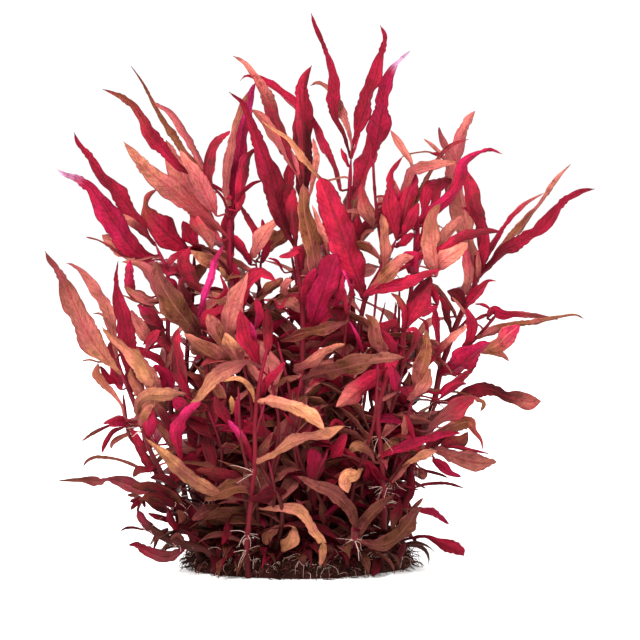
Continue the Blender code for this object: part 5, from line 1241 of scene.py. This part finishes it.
    ("crimson", "magenta", -8, [(47.5, 29.5, 1.5), (52.5, 28.5, 3), (57, 28, 3.5), (60.5, 25, 2.5),
        (64.5, 21.5, 1)]),
    ("maroon", "maroon", -4, [(39, 2.5, 2), (41, 7.5, 3.5), (42.5, 12.5, 1.5)]),
    # at the foot
    ("gold", "amber", -12, [(-28, 29, 1.5), (-20, 29.5, 3.5), (-12, 28.5, 5.5), (-7, 24.5, 5),
        (-3.5, 18.5, 4.5), (0, 13, 4.5), (1, 7, 4.5), (0, 0, 1)]),
    ("gold", "olive", -10, [(-13.5, 19.5, 2.5), (-15.5, 13.5, 7), (-19, 7.5, 1.5)]),
    ("olive", "olive", -8, [(2.5, 20, 1.5), (1.5, 26, 3), (0, 32, 1)]),
    ("maroon", "crimson", -6, [(13, 18.5, 2), (10, 11, 5), (7, 3.5, 1.5)]),
    ("maroon", "maroon", -12, [(-66.5, 130.5, 1.5), (-69, 136.5, 7), (-69.5, 141.5, 5), (-68, 145, 1)]),
    ("crimson", "maroon", -12, [(-68, 146, 1.5), (-72, 148, 4), (-76.5, 147.5, 5), (-82, 151, 1)]),
    ("crimson", "magenta", -10, [(-70, 137.5, 1.5), (-74.5, 141, 5), (-80, 145, 1)]),
    ("salmon", "olive", -12, [(-81.5, 132, 1.5), (-87, 133.5, 4.5), (-93, 136, 4), (-98, 140, 1)]),
    ("maroon", "magenta", -12, [(-78, 118.5, 1.5), (-83, 122.5, 7), (-88, 127.5, 6), (-91.5, 131, 1)]),
    ("salmon", "rose", -12, [(-85, 111, 1.5), (-88, 116.5, 6), (-91.5, 122.5, 6), (-94.5, 128.5, 1.5)]),
    ("crimson", "crimson", -12, [(-87, 108.5, 1.5), (-84.5, 112.5, 6), (-82, 115.5, 5), (-79.5, 118, 1)]),
    ("gold", "olive", -24, [(-81, 89.5, 1.5), (-85, 96, 8), (-90, 102.5, 8), (-96, 108.5, 6),
        (-102.5, 113.5, 3), (-108.5, 119.5, 1)]),
    ("olive", "gold", -14, [(-77, 98.5, 1.5), (-74, 107.5, 2.5), (-69, 116, 1)]),
    ("salmon", "olive", -12, [(-87, 83.5, 1.5), (-90, 89.5, 6), (-93, 95.5, 5), (-94.5, 100, 1.5)]),
    ("olive", "gold", -14, [(-89, 67.5, 1.5), (-89.5, 74.5, 5), (-86.5, 80, 6), (-82, 83, 1.5)]),
    ("rose", "salmon", -14, [(-52, 176, 1.5), (-57, 186, 9), (-62, 195.5, 8), (-67, 203.5, 4), (-70, 208.5, 1)]),
    ("salmon", "crimson", -12, [(-54, 158.5, 1.5), (-58, 165.5, 7), (-62, 172.5, 6), (-65, 177.5, 1.5)]),
    ("rose", "olive", 10, [(-11, 195.5, 1.5), (-15, 204.5, 5.5), (-19.5, 212, 8), (-25, 219.5, 6.5),
        (-30.5, 225.5, 4), (-34.5, 229, 1)]),
    ("maroon", "crimson", -10, [(-12, 161, 1.5), (-13.5, 171, 6), (-14, 181, 6), (-13, 189.5, 1.5)]),
    ("salmon", "rose", -4, [(78, 141, 1.5), (76, 152.5, 7), (73.5, 166, 9), (70.5, 181, 10),
        (67.5, 193.5, 8), (64.5, 203.5, 4), (63, 208.5, 1.5)]),
    ("crimson", "maroon", -12, [(80, 145.5, 1.5), (82, 155.5, 4), (82.5, 164.5, 4.5), (80, 173, 3.5), (75.5, 180, 1)]),
    ("crimson", "maroon", -8, [(60.5, 84.5, 1.5), (65, 89, 4.5), (69, 91.5, 3.5), (73.5, 91.5, 1)]),
    ("maroon", "magenta", 4, [(-76, 111, 2), (-80, 117.5, 6), (-84, 123.5, 6), (-86.5, 129, 1.5)]),
    ("maroon", "crimson", 2, [(-72, 107.5, 2), (-77, 112.5, 5), (-82, 115.5, 4.5), (-85.5, 117, 1.5)]),
    ("maroon", "crimson", 4, [(-68, 87.5, 2), (-70, 96, 7), (-71.5, 104.5, 8), (-72.5, 112.5, 6),
        (-71, 119.5, 1.5)]),
    ("olive", "salmon", -2, [(-47, 108.5, 2), (-51, 114.5, 7), (-54, 120.5, 7), (-56, 126.5, 1.5)]),
    ("maroon", "salmon", -4, [(-74, 63.5, 2), (-77, 71, 4.5), (-80.5, 78, 5), (-83.5, 83, 1.5)]),
    ("maroon", "magenta", -2, [(-66, 77.5, 2), (-70, 81.5, 6), (-74, 85.5, 1.5)]),
    ("maroon", "olive", 4, [(-61.5, 56, 2), (-60, 63.5, 6), (-59.5, 71, 6), (-58.5, 79.5, 1.5)]),
    ("maroon", "olive", 4, [(-49, 87.5, 2), (-55, 91.5, 7), (-61, 95.5, 7), (-67, 97.5, 1.5)]),
    ("maroon", "maroon", 6, [(-52.5, 48.5, 2), (-54, 56, 6.5), (-56, 63.5, 6), (-56.5, 71, 1.5)]),
    ("olive", "maroon", -4, [(-81, 127.5, 2), (-86, 132, 5), (-91, 136, 4.5), (-96, 138.5, 1)]),
    ("olive", "gold", -6, [(-46, 149.5, 2), (-53, 152.5, 6), (-60, 155.5, 5), (-65, 158.5, 1)]),
    ("maroon", "crimson", -4, [(-85, 48.5, 2), (-88.5, 56, 4.5), (-91.5, 63.5, 4), (-94.5, 69.5, 1)]),
    ("crimson", "maroon", -6, [(60, 87.5, 2), (66, 91.5, 5), (72, 96, 4), (77, 99.5, 1)]),
    ("maroon", "rose", -4, [(52, 57.5, 2), (57, 63.5, 6), (63, 68.5, 5), (68, 71.5, 1)]),
    ("maroon", "crimson", 4, [(41, 28.5, 2), (44, 36, 4.5), (45.5, 42.5, 4), (46, 48.5, 1)]),
    ("crimson", "maroon", 4, [(54, 172.5, 1.5), (56, 180.5, 4.5), (58.5, 187.5, 5),
        (61.5, 194.5, 1.5)]),
    ("maroon", "salmon", -10, [(56, 103.5, 1.5), (60.5, 109.5, 3.5), (66, 115.5, 4), (71, 119, 2.5),
        (73.5, 121, 1)]),
    ("maroon", "salmon", 4, [(-82.5, 161, 1.5), (-86.5, 165.5, 3), (-91, 170, 4), (-96, 174, 3),
        (-99, 176.5, 1)]),
    ("crimson", "maroon", 0, [(-82.5, 155, 1.5), (-87, 157.5, 4), (-91, 160.5, 5), (-93, 165.5, 1.5)]),
]


carriers = [path for path, _ in stem_lines.values()] + inner_lines
carrier_points = np.concatenate([path[::3] for path in carriers])
carrier_of = np.concatenate([np.full(len(path[::3]), i) for i, path in enumerate(carriers)])


def front_layer(up):
    """Depth, in millimetres, of the clump's front at each seen height."""
    return np.interp(up, [0, 60, 110, 150, 175, 230], [-38, -36, -30, -20, -8, 6])


def foot_and_carrier(right, up):
    """Depth of a leaf's foot, and the stem that carries it. The depth is near the front and
    near a stem: the way to the stem and a third of the way behind the front are least."""
    depths = np.linspace(front_layer(up), front_layer(up) + 60, 16)
    feet = seen_places(right, up, depths)
    gaps = np.linalg.norm(carrier_points - feet[:, None], axis=2)
    gaps += 0.5 * np.maximum(0.0, carrier_points[:, 2] - feet[:, None, 2])
    best = int((gaps.min(axis=1) + 0.35 * (depths - depths[0]) * MM).argmin())
    return depths[best], carriers[carrier_of[gaps[best].argmin()]]


def aged(height):
    """Older leaves sit lower, and they are darker. The darkening towards the foot is partly their age and partly
    painted shade of the dense low clump.
    """
    return 0.36 + 0.84 * step_up(0.010, 0.120, height)


by_tone = {name: [] for name in leaf_finishes}
FINISH_OF = {"rose": "salmon", "pink": "magenta", "amber": "gold"}
longest_stalk = 0.0
for number, (tone, tip, tip_back, rows) in enumerate(SMALL_LEAVES):
    depth, carrier = foot_and_carrier(rows[0][0], rows[0][1])
    flat = smooth_curve(rows, 60)
    share = np.linspace(0.0, 1.0, len(flat))
    back = depth + tip_back * share + 0.2 * tip_back * np.sin(np.pi * share)
    path = seen_places(flat[:, 0], flat[:, 1], back)
    path, stalk = stalk_from(path, carrier)
    longest_stalk = max(longest_stalk, stalk)
    width = np.concatenate([np.full(len(path) - len(flat), min(rows[0][2], 1.1)), flat[:, 2]]) * MM
    # Lower leaves are darker from age and painted shade. Gold and salmon ones lose less of it.
    keep_pale = 0.5 if tone in ("amber", "gold", "salmon") else 1.0
    turn = (38, -30, 12, -44, 46, -20)[number % 6]
    fold = (0.28, -0.24, 0.34, 0.20, -0.30)[number % 5]
    rings = int(np.clip(length_of(path) / 0.0009, 18, 60))
    by_tone[FINISH_OF.get(tone, tone)].append(blade_skin(path, width, turn, FRONT_AXIS, MEDIUM_ACROSS, rings,
                                    (tone, tip, LEAF_FEET[tone]), fold=fold,
                                    light=aged(path[:, 2].mean()) ** keep_pale * rng.uniform(0.85, 1.15)))
for tone, skins in by_tone.items():
    piece = add_piece("small_leaves_" + tone, skins, leaf_finishes[tone])
    print(piece.name, len(skins), "leaves,", triangles(piece), "triangles")
print("longest stalk:", round(longest_stalk * 1000, 1), "mm")

# %% [markdown]
# The back of the clump isn't seen from the front, so its leafy shoots follow the plant's
# own habit: leaves in pairs, each pair turned a quarter to the last, rising from the stem
# and then drooping. The same rule fills the inside with small leaves of dark tones, made
# darker low down by age and painted shade. A fill leaf is kept only where the clump is
# dense as seen from the front, so the open crown stays open.

# %% Leaves by rule
# Left and right limit of the dense part at each seen height, in millimetres
DENSE_UP = [0, 12, 30, 50, 70, 90, 110, 130, 150, 165, 180, 192, 205]
DENSE_LEFT = [-73, -82, -89, -94, -99, -102, -102, -98, -88, -80, -56, -42, -30]
DENSE_RIGHT = [42, 46, 52, 57, 63, 67, 70, 74, 78, 74, 50, 36, 12]
# Places that stay open to the light: how far right and up they are seen, and their radius
OPENINGS = np.array([(33, 131, 13), (-31.5, 186, 8), (-36.5, 163.5, 8), (-21, 153.5, 9), (64, 144, 5),
                     (57.5, 121, 7), (55, 93.5, 7), (23.5, 82, 6), (-29, 167, 7), (8, 192, 8)], dtype=float)


def in_dense_part(points):
    """True if every point shows within the dense part of the clump, above the floor and
    outside the openings."""
    right, up = as_seen(points)
    away = np.hypot(right[:, None] - OPENINGS[:, 0], up[:, None] - OPENINGS[:, 1])
    if (away < OPENINGS[:, 2]).any():
        return False
    low = np.interp(up, DENSE_UP, DENSE_LEFT)
    high = np.interp(up, DENSE_UP, DENSE_RIGHT)
    return bool(((right > low) & (right < high) & (up < DENSE_UP[-1])
                 & (points[:, 2] > 0.004) & (points[:, 1] < 0.112) & (points[:, 1] > -0.066)).all())


def drooping_line(start, azimuth, rise, droop, long, sway, count=12):
    """Centre line of a leaf: the direction keeps its azimuth but for a sway, and its
    elevation falls with the square root of the way gone."""
    share = np.linspace(0.0, 1.0, count)
    elevation = rise - droop * share ** 1.4
    turned = azimuth + sway * share ** 2
    way = np.stack([np.cos(elevation) * np.cos(turned), np.cos(elevation) * np.sin(turned),
                    np.sin(elevation)], axis=1)
    return start + np.vstack([np.zeros(3), np.cumsum(way[:-1] * long / (count - 1), axis=0)])


def lance_width(share, widest):
    """Width of a lance-shaped leaf: a stalk, a quick swelling and a long point."""
    return widest * np.maximum(0.12, np.sin(np.pi * np.clip(share, 0, 1) ** 0.80) ** 1.25)


def pairs_along(path, first, last, step, long_low, long_high, tones, keep, weights=None):
    """Pairs of leaves up a stem, each pair turned a quarter to the last."""
    skins, total_length = [], length_of(path)
    along = directions(path)
    marks = np.arange(first, last, step / total_length)
    azimuth = rng.uniform(0, np.pi)
    for mark in marks:
        i = int(mark * (len(path) - 1))
        azimuth += np.pi / 2 + rng.uniform(-0.35, 0.35)
        for half_turn in (0.0, np.pi):
            long = rng.uniform(long_low, long_high)
            toward = azimuth + half_turn + rng.uniform(-0.25, 0.25)
            rise = rng.uniform(0.35, 1.15)
            droop = rng.uniform(0.4, 1.8)
            sway = rng.uniform(-0.6, 0.6)
            tone = tones[int(rng.choice(len(tones), p=weights))]
            tip = str(rng.choice(["crimson", "salmon", "olive", "magenta", tone]))
            wide = long * rng.uniform(0.20, 0.31)
            line = drooping_line(path[i], toward, rise, droop, long, sway)
            if not keep(line):
                continue
            width = lance_width(np.linspace(0, 1, len(line)), wide)
            # The light is age and painted shade by height, with a random spread.
            points, places, tint = blade_skin(line, width, rng.uniform(-40, 40), UP_AXIS, PLAIN_ACROSS, 9,
                                              (tone, tip, LEAF_FEET[tone]), fold=rng.uniform(0.1, 0.4),
                                              light=aged(line[:, 2].mean()) * rng.uniform(0.75, 1.15))
            skins.append((tone, (points, places, tint)))
    return skins


# %% Leafy shoots at the back


def shoot_line(name):
    """Centre line of a shoot, from the mat up."""
    places = seen_places(*np.array(SHOOTS[name][1], dtype=float).T)
    places[0, 2] = mat_height(places[0, 0], places[0, 1]) - 0.001
    return smooth_curve(places, 400)


SHOOT_BARE, SHOOT_OUT, SHOOT_UP = 0.34, 0.031, 0.026
total = 0
shoot_lines = {name: shoot_line(name) for name in SHOOTS}
for name, path in shoot_lines.items():
    pair_count = SHOOTS[name][0]
    along = directions(path)
    skins = [stem_skin(path, np.linspace(0.0017, 0.0009, len(path)))]
    for pair in range(pair_count):
        i = int(round((SHOOT_BARE + (0.97 - SHOOT_BARE) * pair / (pair_count - 1)) * (len(path) - 1)))
        i = max(i - 8, 0)
        side = unit(np.cross(along[i], FRONT_AXIS))
        out = side if pair % 2 == 0 else np.cross(side, along[i])
        for sign in (1.0, -1.0):
            tip = path[i] + sign * out * SHOOT_OUT + along[i] * SHOOT_UP
            middle = path[i] + sign * out * SHOOT_OUT * 0.42 + along[i] * SHOOT_UP * 0.75
            line = smooth_curve([path[i], middle, tip], 30)
            tone = ["crimson", "salmon", "magenta", "olive", "maroon"][int(rng.integers(5))]
            width = lance_width(np.linspace(0, 1, 30), rng.uniform(0.009, 0.012))
            skins.append(blade_skin(line, width, rng.uniform(-12, 12), UP_AXIS, FINE_ACROSS, 22,
                                    (tone, "crimson", LEAF_FEET[tone])))
    skins += [skin for _, skin in pairs_along(path, 0.25, 0.98, 0.016, 0.022, 0.036,
                                              ["crimson", "salmon", "magenta", "olive"], in_dense_part)]
    piece = add_piece("leafy_" + name, skins, shoot_finish, [name])
    total += triangles(piece)
print("shoots:", len(SHOOTS), "with", total, "triangles")

# %% Inner leaves
INNER_TONES = ["maroon", "crimson", "olive", "salmon", "magenta"]
INNER_SHARES = [0.22, 0.22, 0.32, 0.18, 0.06]


def behind_the_front(points):
    """True if a leaf is in the dense part, and not among the leaves that are laid out."""
    front_limit = np.interp(points[:, 2], [0.0, 0.02, 0.05, 0.10, 0.15],
                            [-0.056, -0.048, -0.040, -0.026, -0.010])
    return in_dense_part(points) and bool((points[:, 1] > front_limit).all())


inner = []
for path in inner_lines:
    inner += pairs_along(path, 0.10, 0.99, 0.012, 0.024, 0.046, INNER_TONES, behind_the_front, INNER_SHARES)
for name, (path, _) in stem_lines.items():
    inner += pairs_along(path, 0.04, 0.92, 0.014, 0.026, 0.050, INNER_TONES, behind_the_front, INNER_SHARES)
OLD_LEAVES = 150
for _ in range(OLD_LEAVES):
    angle, reach = float(rng.choice([rng.uniform(0, 2 * np.pi), rng.normal(-np.pi / 2, 0.8)])), rng.uniform(0.55, 0.96)
    foot = np.array([MAT_CENTRE_X + MAT_HALF_X * reach * math.cos(angle),
                     MAT_HALF_Y * reach * math.sin(angle), 0.0])
    foot[2] = mat_height(foot[0], foot[1]) + rng.uniform(-0.001, 0.004)
    line = drooping_line(foot, angle + rng.normal(0, 0.5), rng.uniform(0.2, 0.9), rng.uniform(0.9, 2.4),
                         rng.uniform(0.012, 0.028), rng.uniform(-0.6, 0.6))
    line[:, 2] = np.maximum(line[:, 2], 0.0012)
    tone = INNER_TONES[int(rng.choice(3, p=[0.6, 0.1, 0.3]))]
    width = lance_width(np.linspace(0, 1, len(line)), rng.uniform(0.004, 0.008))
    # Old leaves at the foot are dark: partly their age, partly painted shade under the clump.
    inner.append((tone, blade_skin(line, width, rng.uniform(-40, 40), UP_AXIS, PLAIN_ACROSS, 9,
                                   (tone, tone, "maroon"), fold=0.3, light=rng.uniform(0.25, 0.5))))
for tone in INNER_TONES:
    skins = [skin for own, skin in inner if own == tone]
    piece = add_piece("inner_leaves_" + tone, skins, leaf_finishes[tone])
    print(piece.name, len(skins), "leaves,", triangles(piece), "triangles")

# %% [markdown]
# The roots are a felt. A cushion with a bumpy top gives its body, and on it lie many curly
# brown fibres. Hair curves would be lost in the export, so each fibre is a thin tube of a
# few faces, worked out for all fibres at once.

# %% The root mat


def mat_skin():
    """The mat's profile carried round its outline, with lumps that grow towards the top.
    The underside is flat, and both poles close."""
    shares = np.concatenate([[0.02, 0.35, 0.7], [share for share, _ in MAT_PROFILE], [0.2, 0.02]])
    heights = np.concatenate([[0.0, 0.0, 0.0], [height for _, height in MAT_PROFILE], [1.0, 1.0]])
    t = np.linspace(0, len(shares) - 1, 60)
    share = np.interp(t, np.arange(len(shares)), shares)
    height = np.interp(t, np.arange(len(shares)), heights)
    angle = np.linspace(0, 2 * np.pi, 180, endpoint=False)[None, :]
    reach = share[:, None] * mat_outline(angle)
    x = MAT_CENTRE_X + MAT_HALF_X * reach * np.cos(angle)
    y = MAT_HALF_Y * reach * np.sin(angle)
    lumps = (np.sin(x * 900 + 3 * np.sin(y * 500)) + np.sin(y * 1100 + 2 * np.sin(x * 700))
             + np.sin((x + y) * 1900) * 0.6)
    up = step_up(0.05, 0.5, height)[:, None]
    z = MAT_HEIGHT * height[:, None] * (1 - 0.10 * up) + 0.0009 * lumps * up
    side = 1 + (0.022 * lumps - 0.05) * up * (1 - step_up(0.8, 1.0, height)[:, None])
    points = np.stack([MAT_CENTRE_X + (x - MAT_CENTRE_X) * side, y * side, z], axis=-1)
    places = np.stack([np.broadcast_to(angle, x.shape) * 3, reach * 3], axis=-1)
    tint = blend(TONES["bark"] * 0.4, TONES["maroon"] * 0.4, 0.35 + 0.25 * np.clip(lumps * 0.4, -1, 1))
    return points[None], places[None], np.append(tint, np.ones(tint.shape[:2] + (1,)), axis=2)[None]


mat = add_piece("root_mat_felt", [mat_skin()], root_finish, ["root_mat"])
print("root mat:", triangles(mat), "triangles")

# %% Curly fibres and water rootlets


def strand_paths(starts, azimuth, rise, long, curl, sag, rings):
    """Many curly lines at once: the direction turns by the curl and sinks by the sag along
    the way, and the steps are summed up."""
    share = np.linspace(0.0, 1.0, rings)[None, :]
    wave = curl[:, None] * np.sin(share * 7.0 + azimuth[:, None] * 5)
    turned = azimuth[:, None] + wave
    elevation = rise[:, None] - sag[:, None] * share + 0.5 * wave
    way = np.stack([np.cos(elevation) * np.cos(turned), np.cos(elevation) * np.sin(turned),
                    np.sin(elevation)], axis=-1)
    steps = way[:, :-1] * (long / (rings - 1))[:, None, None]
    return starts[:, None, :] + np.concatenate([np.zeros((len(starts), 1, 3)), np.cumsum(steps, axis=1)], axis=1)


FIBRES = 3600
angle = rng.uniform(0, 2 * np.pi, FIBRES)
reach = np.sqrt(rng.uniform(0.35, 1.0, FIBRES)) * mat_outline(angle) * 0.99
starts = np.stack([MAT_CENTRE_X + MAT_HALF_X * reach * np.cos(angle), MAT_HALF_Y * reach * np.sin(angle),
                   np.zeros(FIBRES)], axis=1)
starts[:, 2] = np.maximum(mat_height(starts[:, 0], starts[:, 1]) * rng.uniform(0.35, 1.0, FIBRES), 0.001)
paths = strand_paths(starts, angle + rng.normal(0, 1.0, FIBRES), rng.uniform(-0.3, 0.9, FIBRES),
                     rng.uniform(0.005, 0.012, FIBRES) * rng.uniform(0.8, 1.5, FIBRES),
                     rng.uniform(0.2, 1.3, FIBRES), rng.uniform(0.6, 2.6, FIBRES), 7)
paths[..., 2] = np.maximum(paths[..., 2], 0.0004)
radii = np.linspace(1.0, 0.4, 7)[None, :] * rng.uniform(0.00014, 0.00034, FIBRES)[:, None]
pale = rng.uniform(0, 1.0, FIBRES) ** 4
tints = np.broadcast_to(blend(TONES["bark"] * 0.5, TONES["salmon"], 0.35 * pale)[:, None, :], paths.shape)
fibres = add_piece("root_fibres", [tube_skin(paths, radii, 4, tints)], fibre_finish)
print("fibres:", FIBRES, "with", triangles(fibres), "triangles")

starts, azimuths = [], []
low_lines = [path for path, _ in stem_lines.values()] + list(shoot_lines.values())
for path in low_lines:
    low = path[path[:, 2] < 0.085]
    for _ in range(4 if len(low) > 8 else 0):
        node = low[int(rng.integers(4, len(low)))]
        for _ in range(int(rng.integers(5, 10))):
            starts.append(node)
            azimuths.append(rng.uniform(0, 2 * np.pi))
RIM_ROOTS = 90
angle = np.where(rng.uniform(0, 1, RIM_ROOTS) < 0.5, rng.uniform(0, 2 * np.pi, RIM_ROOTS),
                 rng.normal(-np.pi / 2, 0.8, RIM_ROOTS))
rim = np.stack([MAT_CENTRE_X + MAT_HALF_X * 0.95 * mat_outline(angle) * np.cos(angle),
                MAT_HALF_Y * 0.95 * mat_outline(angle) * np.sin(angle),
                rng.uniform(0.001, 0.009, RIM_ROOTS)], axis=1)
starts = np.concatenate([np.array(starts), rim])
azimuths = np.concatenate([azimuths, angle + rng.normal(0, 0.9, RIM_ROOTS)])
count = len(starts)
at_rim = np.arange(count) >= count - RIM_ROOTS
paths = strand_paths(starts, azimuths, np.where(at_rim, rng.uniform(0.2, 1.4, count), rng.uniform(-0.9, 0.7, count)),
                     rng.uniform(0.005, 0.013, count) * np.where(at_rim, 1.2, 1.0),
                     np.where(at_rim, 0.9, 0.4) * rng.uniform(0.1, 1.2, count),
                     np.where(at_rim, rng.uniform(1.2, 3.0, count), rng.uniform(0.0, 1.2, count)), 9)
paths[..., 2] = np.maximum(paths[..., 2], 0.0005)
radii = np.linspace(1.0, 0.45, 9)[None, :] * rng.uniform(0.00008, 0.00017, count)[:, None]
tints = np.broadcast_to(blend(TONES["rootlet"], TONES["salmon"], rng.uniform(0, 0.6, count))[:, None, :], paths.shape)
rootlets = add_piece("water_rootlets", [tube_skin(paths, radii, 4, tints)], rootlet_finish)
print("rootlets:", count, "with", triangles(rootlets), "triangles")

# %% [markdown]
# The stage is plain: a wide pale floor, a bright even sky, one large soft lamp from the
# upper left and a weaker one from the right. The camera stands where the photographer
# stood, and its lens shows 320 mm at the middle of the clump.

# %% Floor, light and camera


def make_floor(radius=18.0, sides=96):
    """Flat round floor, one disc of points at even angles."""
    angle = np.linspace(0, 2 * np.pi, sides, endpoint=False)
    points = np.stack([radius * np.cos(angle), radius * np.sin(angle), np.zeros(sides)], axis=1)
    mesh = bpy.data.meshes.new("floor")
    mesh.from_pydata(points.tolist(), [], [list(range(sides))])
    finish, tree, shader = new_finish("pale_floor")
    speckle = noise(tree, in_space(tree), 260.0, 3.0)
    tree.links.new(mixed(tree, speckle, (0.93, 0.925, 0.915, 1.0), (0.97, 0.967, 0.96, 1.0)), shader.inputs["Base Color"])
    shader.inputs["Roughness"].default_value = 0.9
    mesh.materials.append(finish)
    floor = bpy.data.objects.new("floor", mesh)
    bpy.context.scene.collection.objects.link(floor)
    return floor


def soft_lamp(name, place, target, size, power, colour):
    """Square area lamp that faces a target."""
    lamp = bpy.data.lights.new(name, "AREA")
    lamp.size = size
    lamp.energy = power
    lamp.color = colour
    holder = bpy.data.objects.new(name, lamp)
    aim = np.array(target) - np.array(place)
    pitch = math.atan2(math.hypot(aim[0], aim[1]), -aim[2])
    holder.location = place
    holder.rotation_euler = (pitch, 0.0, math.atan2(-aim[0], aim[1]))
    bpy.context.scene.collection.objects.link(holder)
    return holder


make_floor()
soft_lamp("window_left", (-0.75, -1.10, 1.15), (0.0, 0.0, 0.12), 0.55, 44.0, (1.0, 0.99, 0.97))
soft_lamp("window_right", (1.20, -0.80, 0.60), (0.0, 0.0, 0.12), 0.80, 12.0, (0.98, 0.99, 1.0))
soft_lamp("window_front", (0.10, -1.30, 0.25), (0.0, 0.0, 0.08), 0.60, 9.0, (1.0, 1.0, 0.98))
soft_lamp("window_back", (-0.30, 1.30, 1.10), (0.0, 0.0, 0.12), 0.90, 22.0, (1.0, 1.0, 1.0))
sky = bpy.data.worlds.new("even_sky")
sky.use_nodes = True
sky.node_tree.nodes["Background"].inputs["Color"].default_value = (1.0, 1.0, 1.0, 1.0)
sky.node_tree.nodes["Background"].inputs["Strength"].default_value = 1.07
bpy.context.scene.world = sky
bpy.context.scene.view_settings.view_transform = "Standard"

camera_data = bpy.data.cameras.new("camera")
camera_data.sensor_width = 36.0
camera_data.lens = 36.0 * EYE_DISTANCE / 0.320
camera = bpy.data.objects.new("camera", camera_data)
camera.location = (0.0, -EYE_DISTANCE * math.cos(LOOK_SLOPE), LOOK_HEIGHT + EYE_DISTANCE * math.sin(LOOK_SLOPE))
camera.rotation_euler = (math.pi / 2 - LOOK_SLOPE, 0.0, 0.0)
bpy.context.scene.collection.objects.link(camera)
bpy.context.scene.camera = camera
print("lens:", round(camera_data.lens, 2), "mm")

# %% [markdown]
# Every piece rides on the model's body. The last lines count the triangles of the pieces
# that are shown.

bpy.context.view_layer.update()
shown = sum(triangles(piece) for piece in bpy.context.scene.objects
            if piece.type == "MESH" and piece.name != "floor" and not piece.hide_render)
print("triangles shown:", shown)
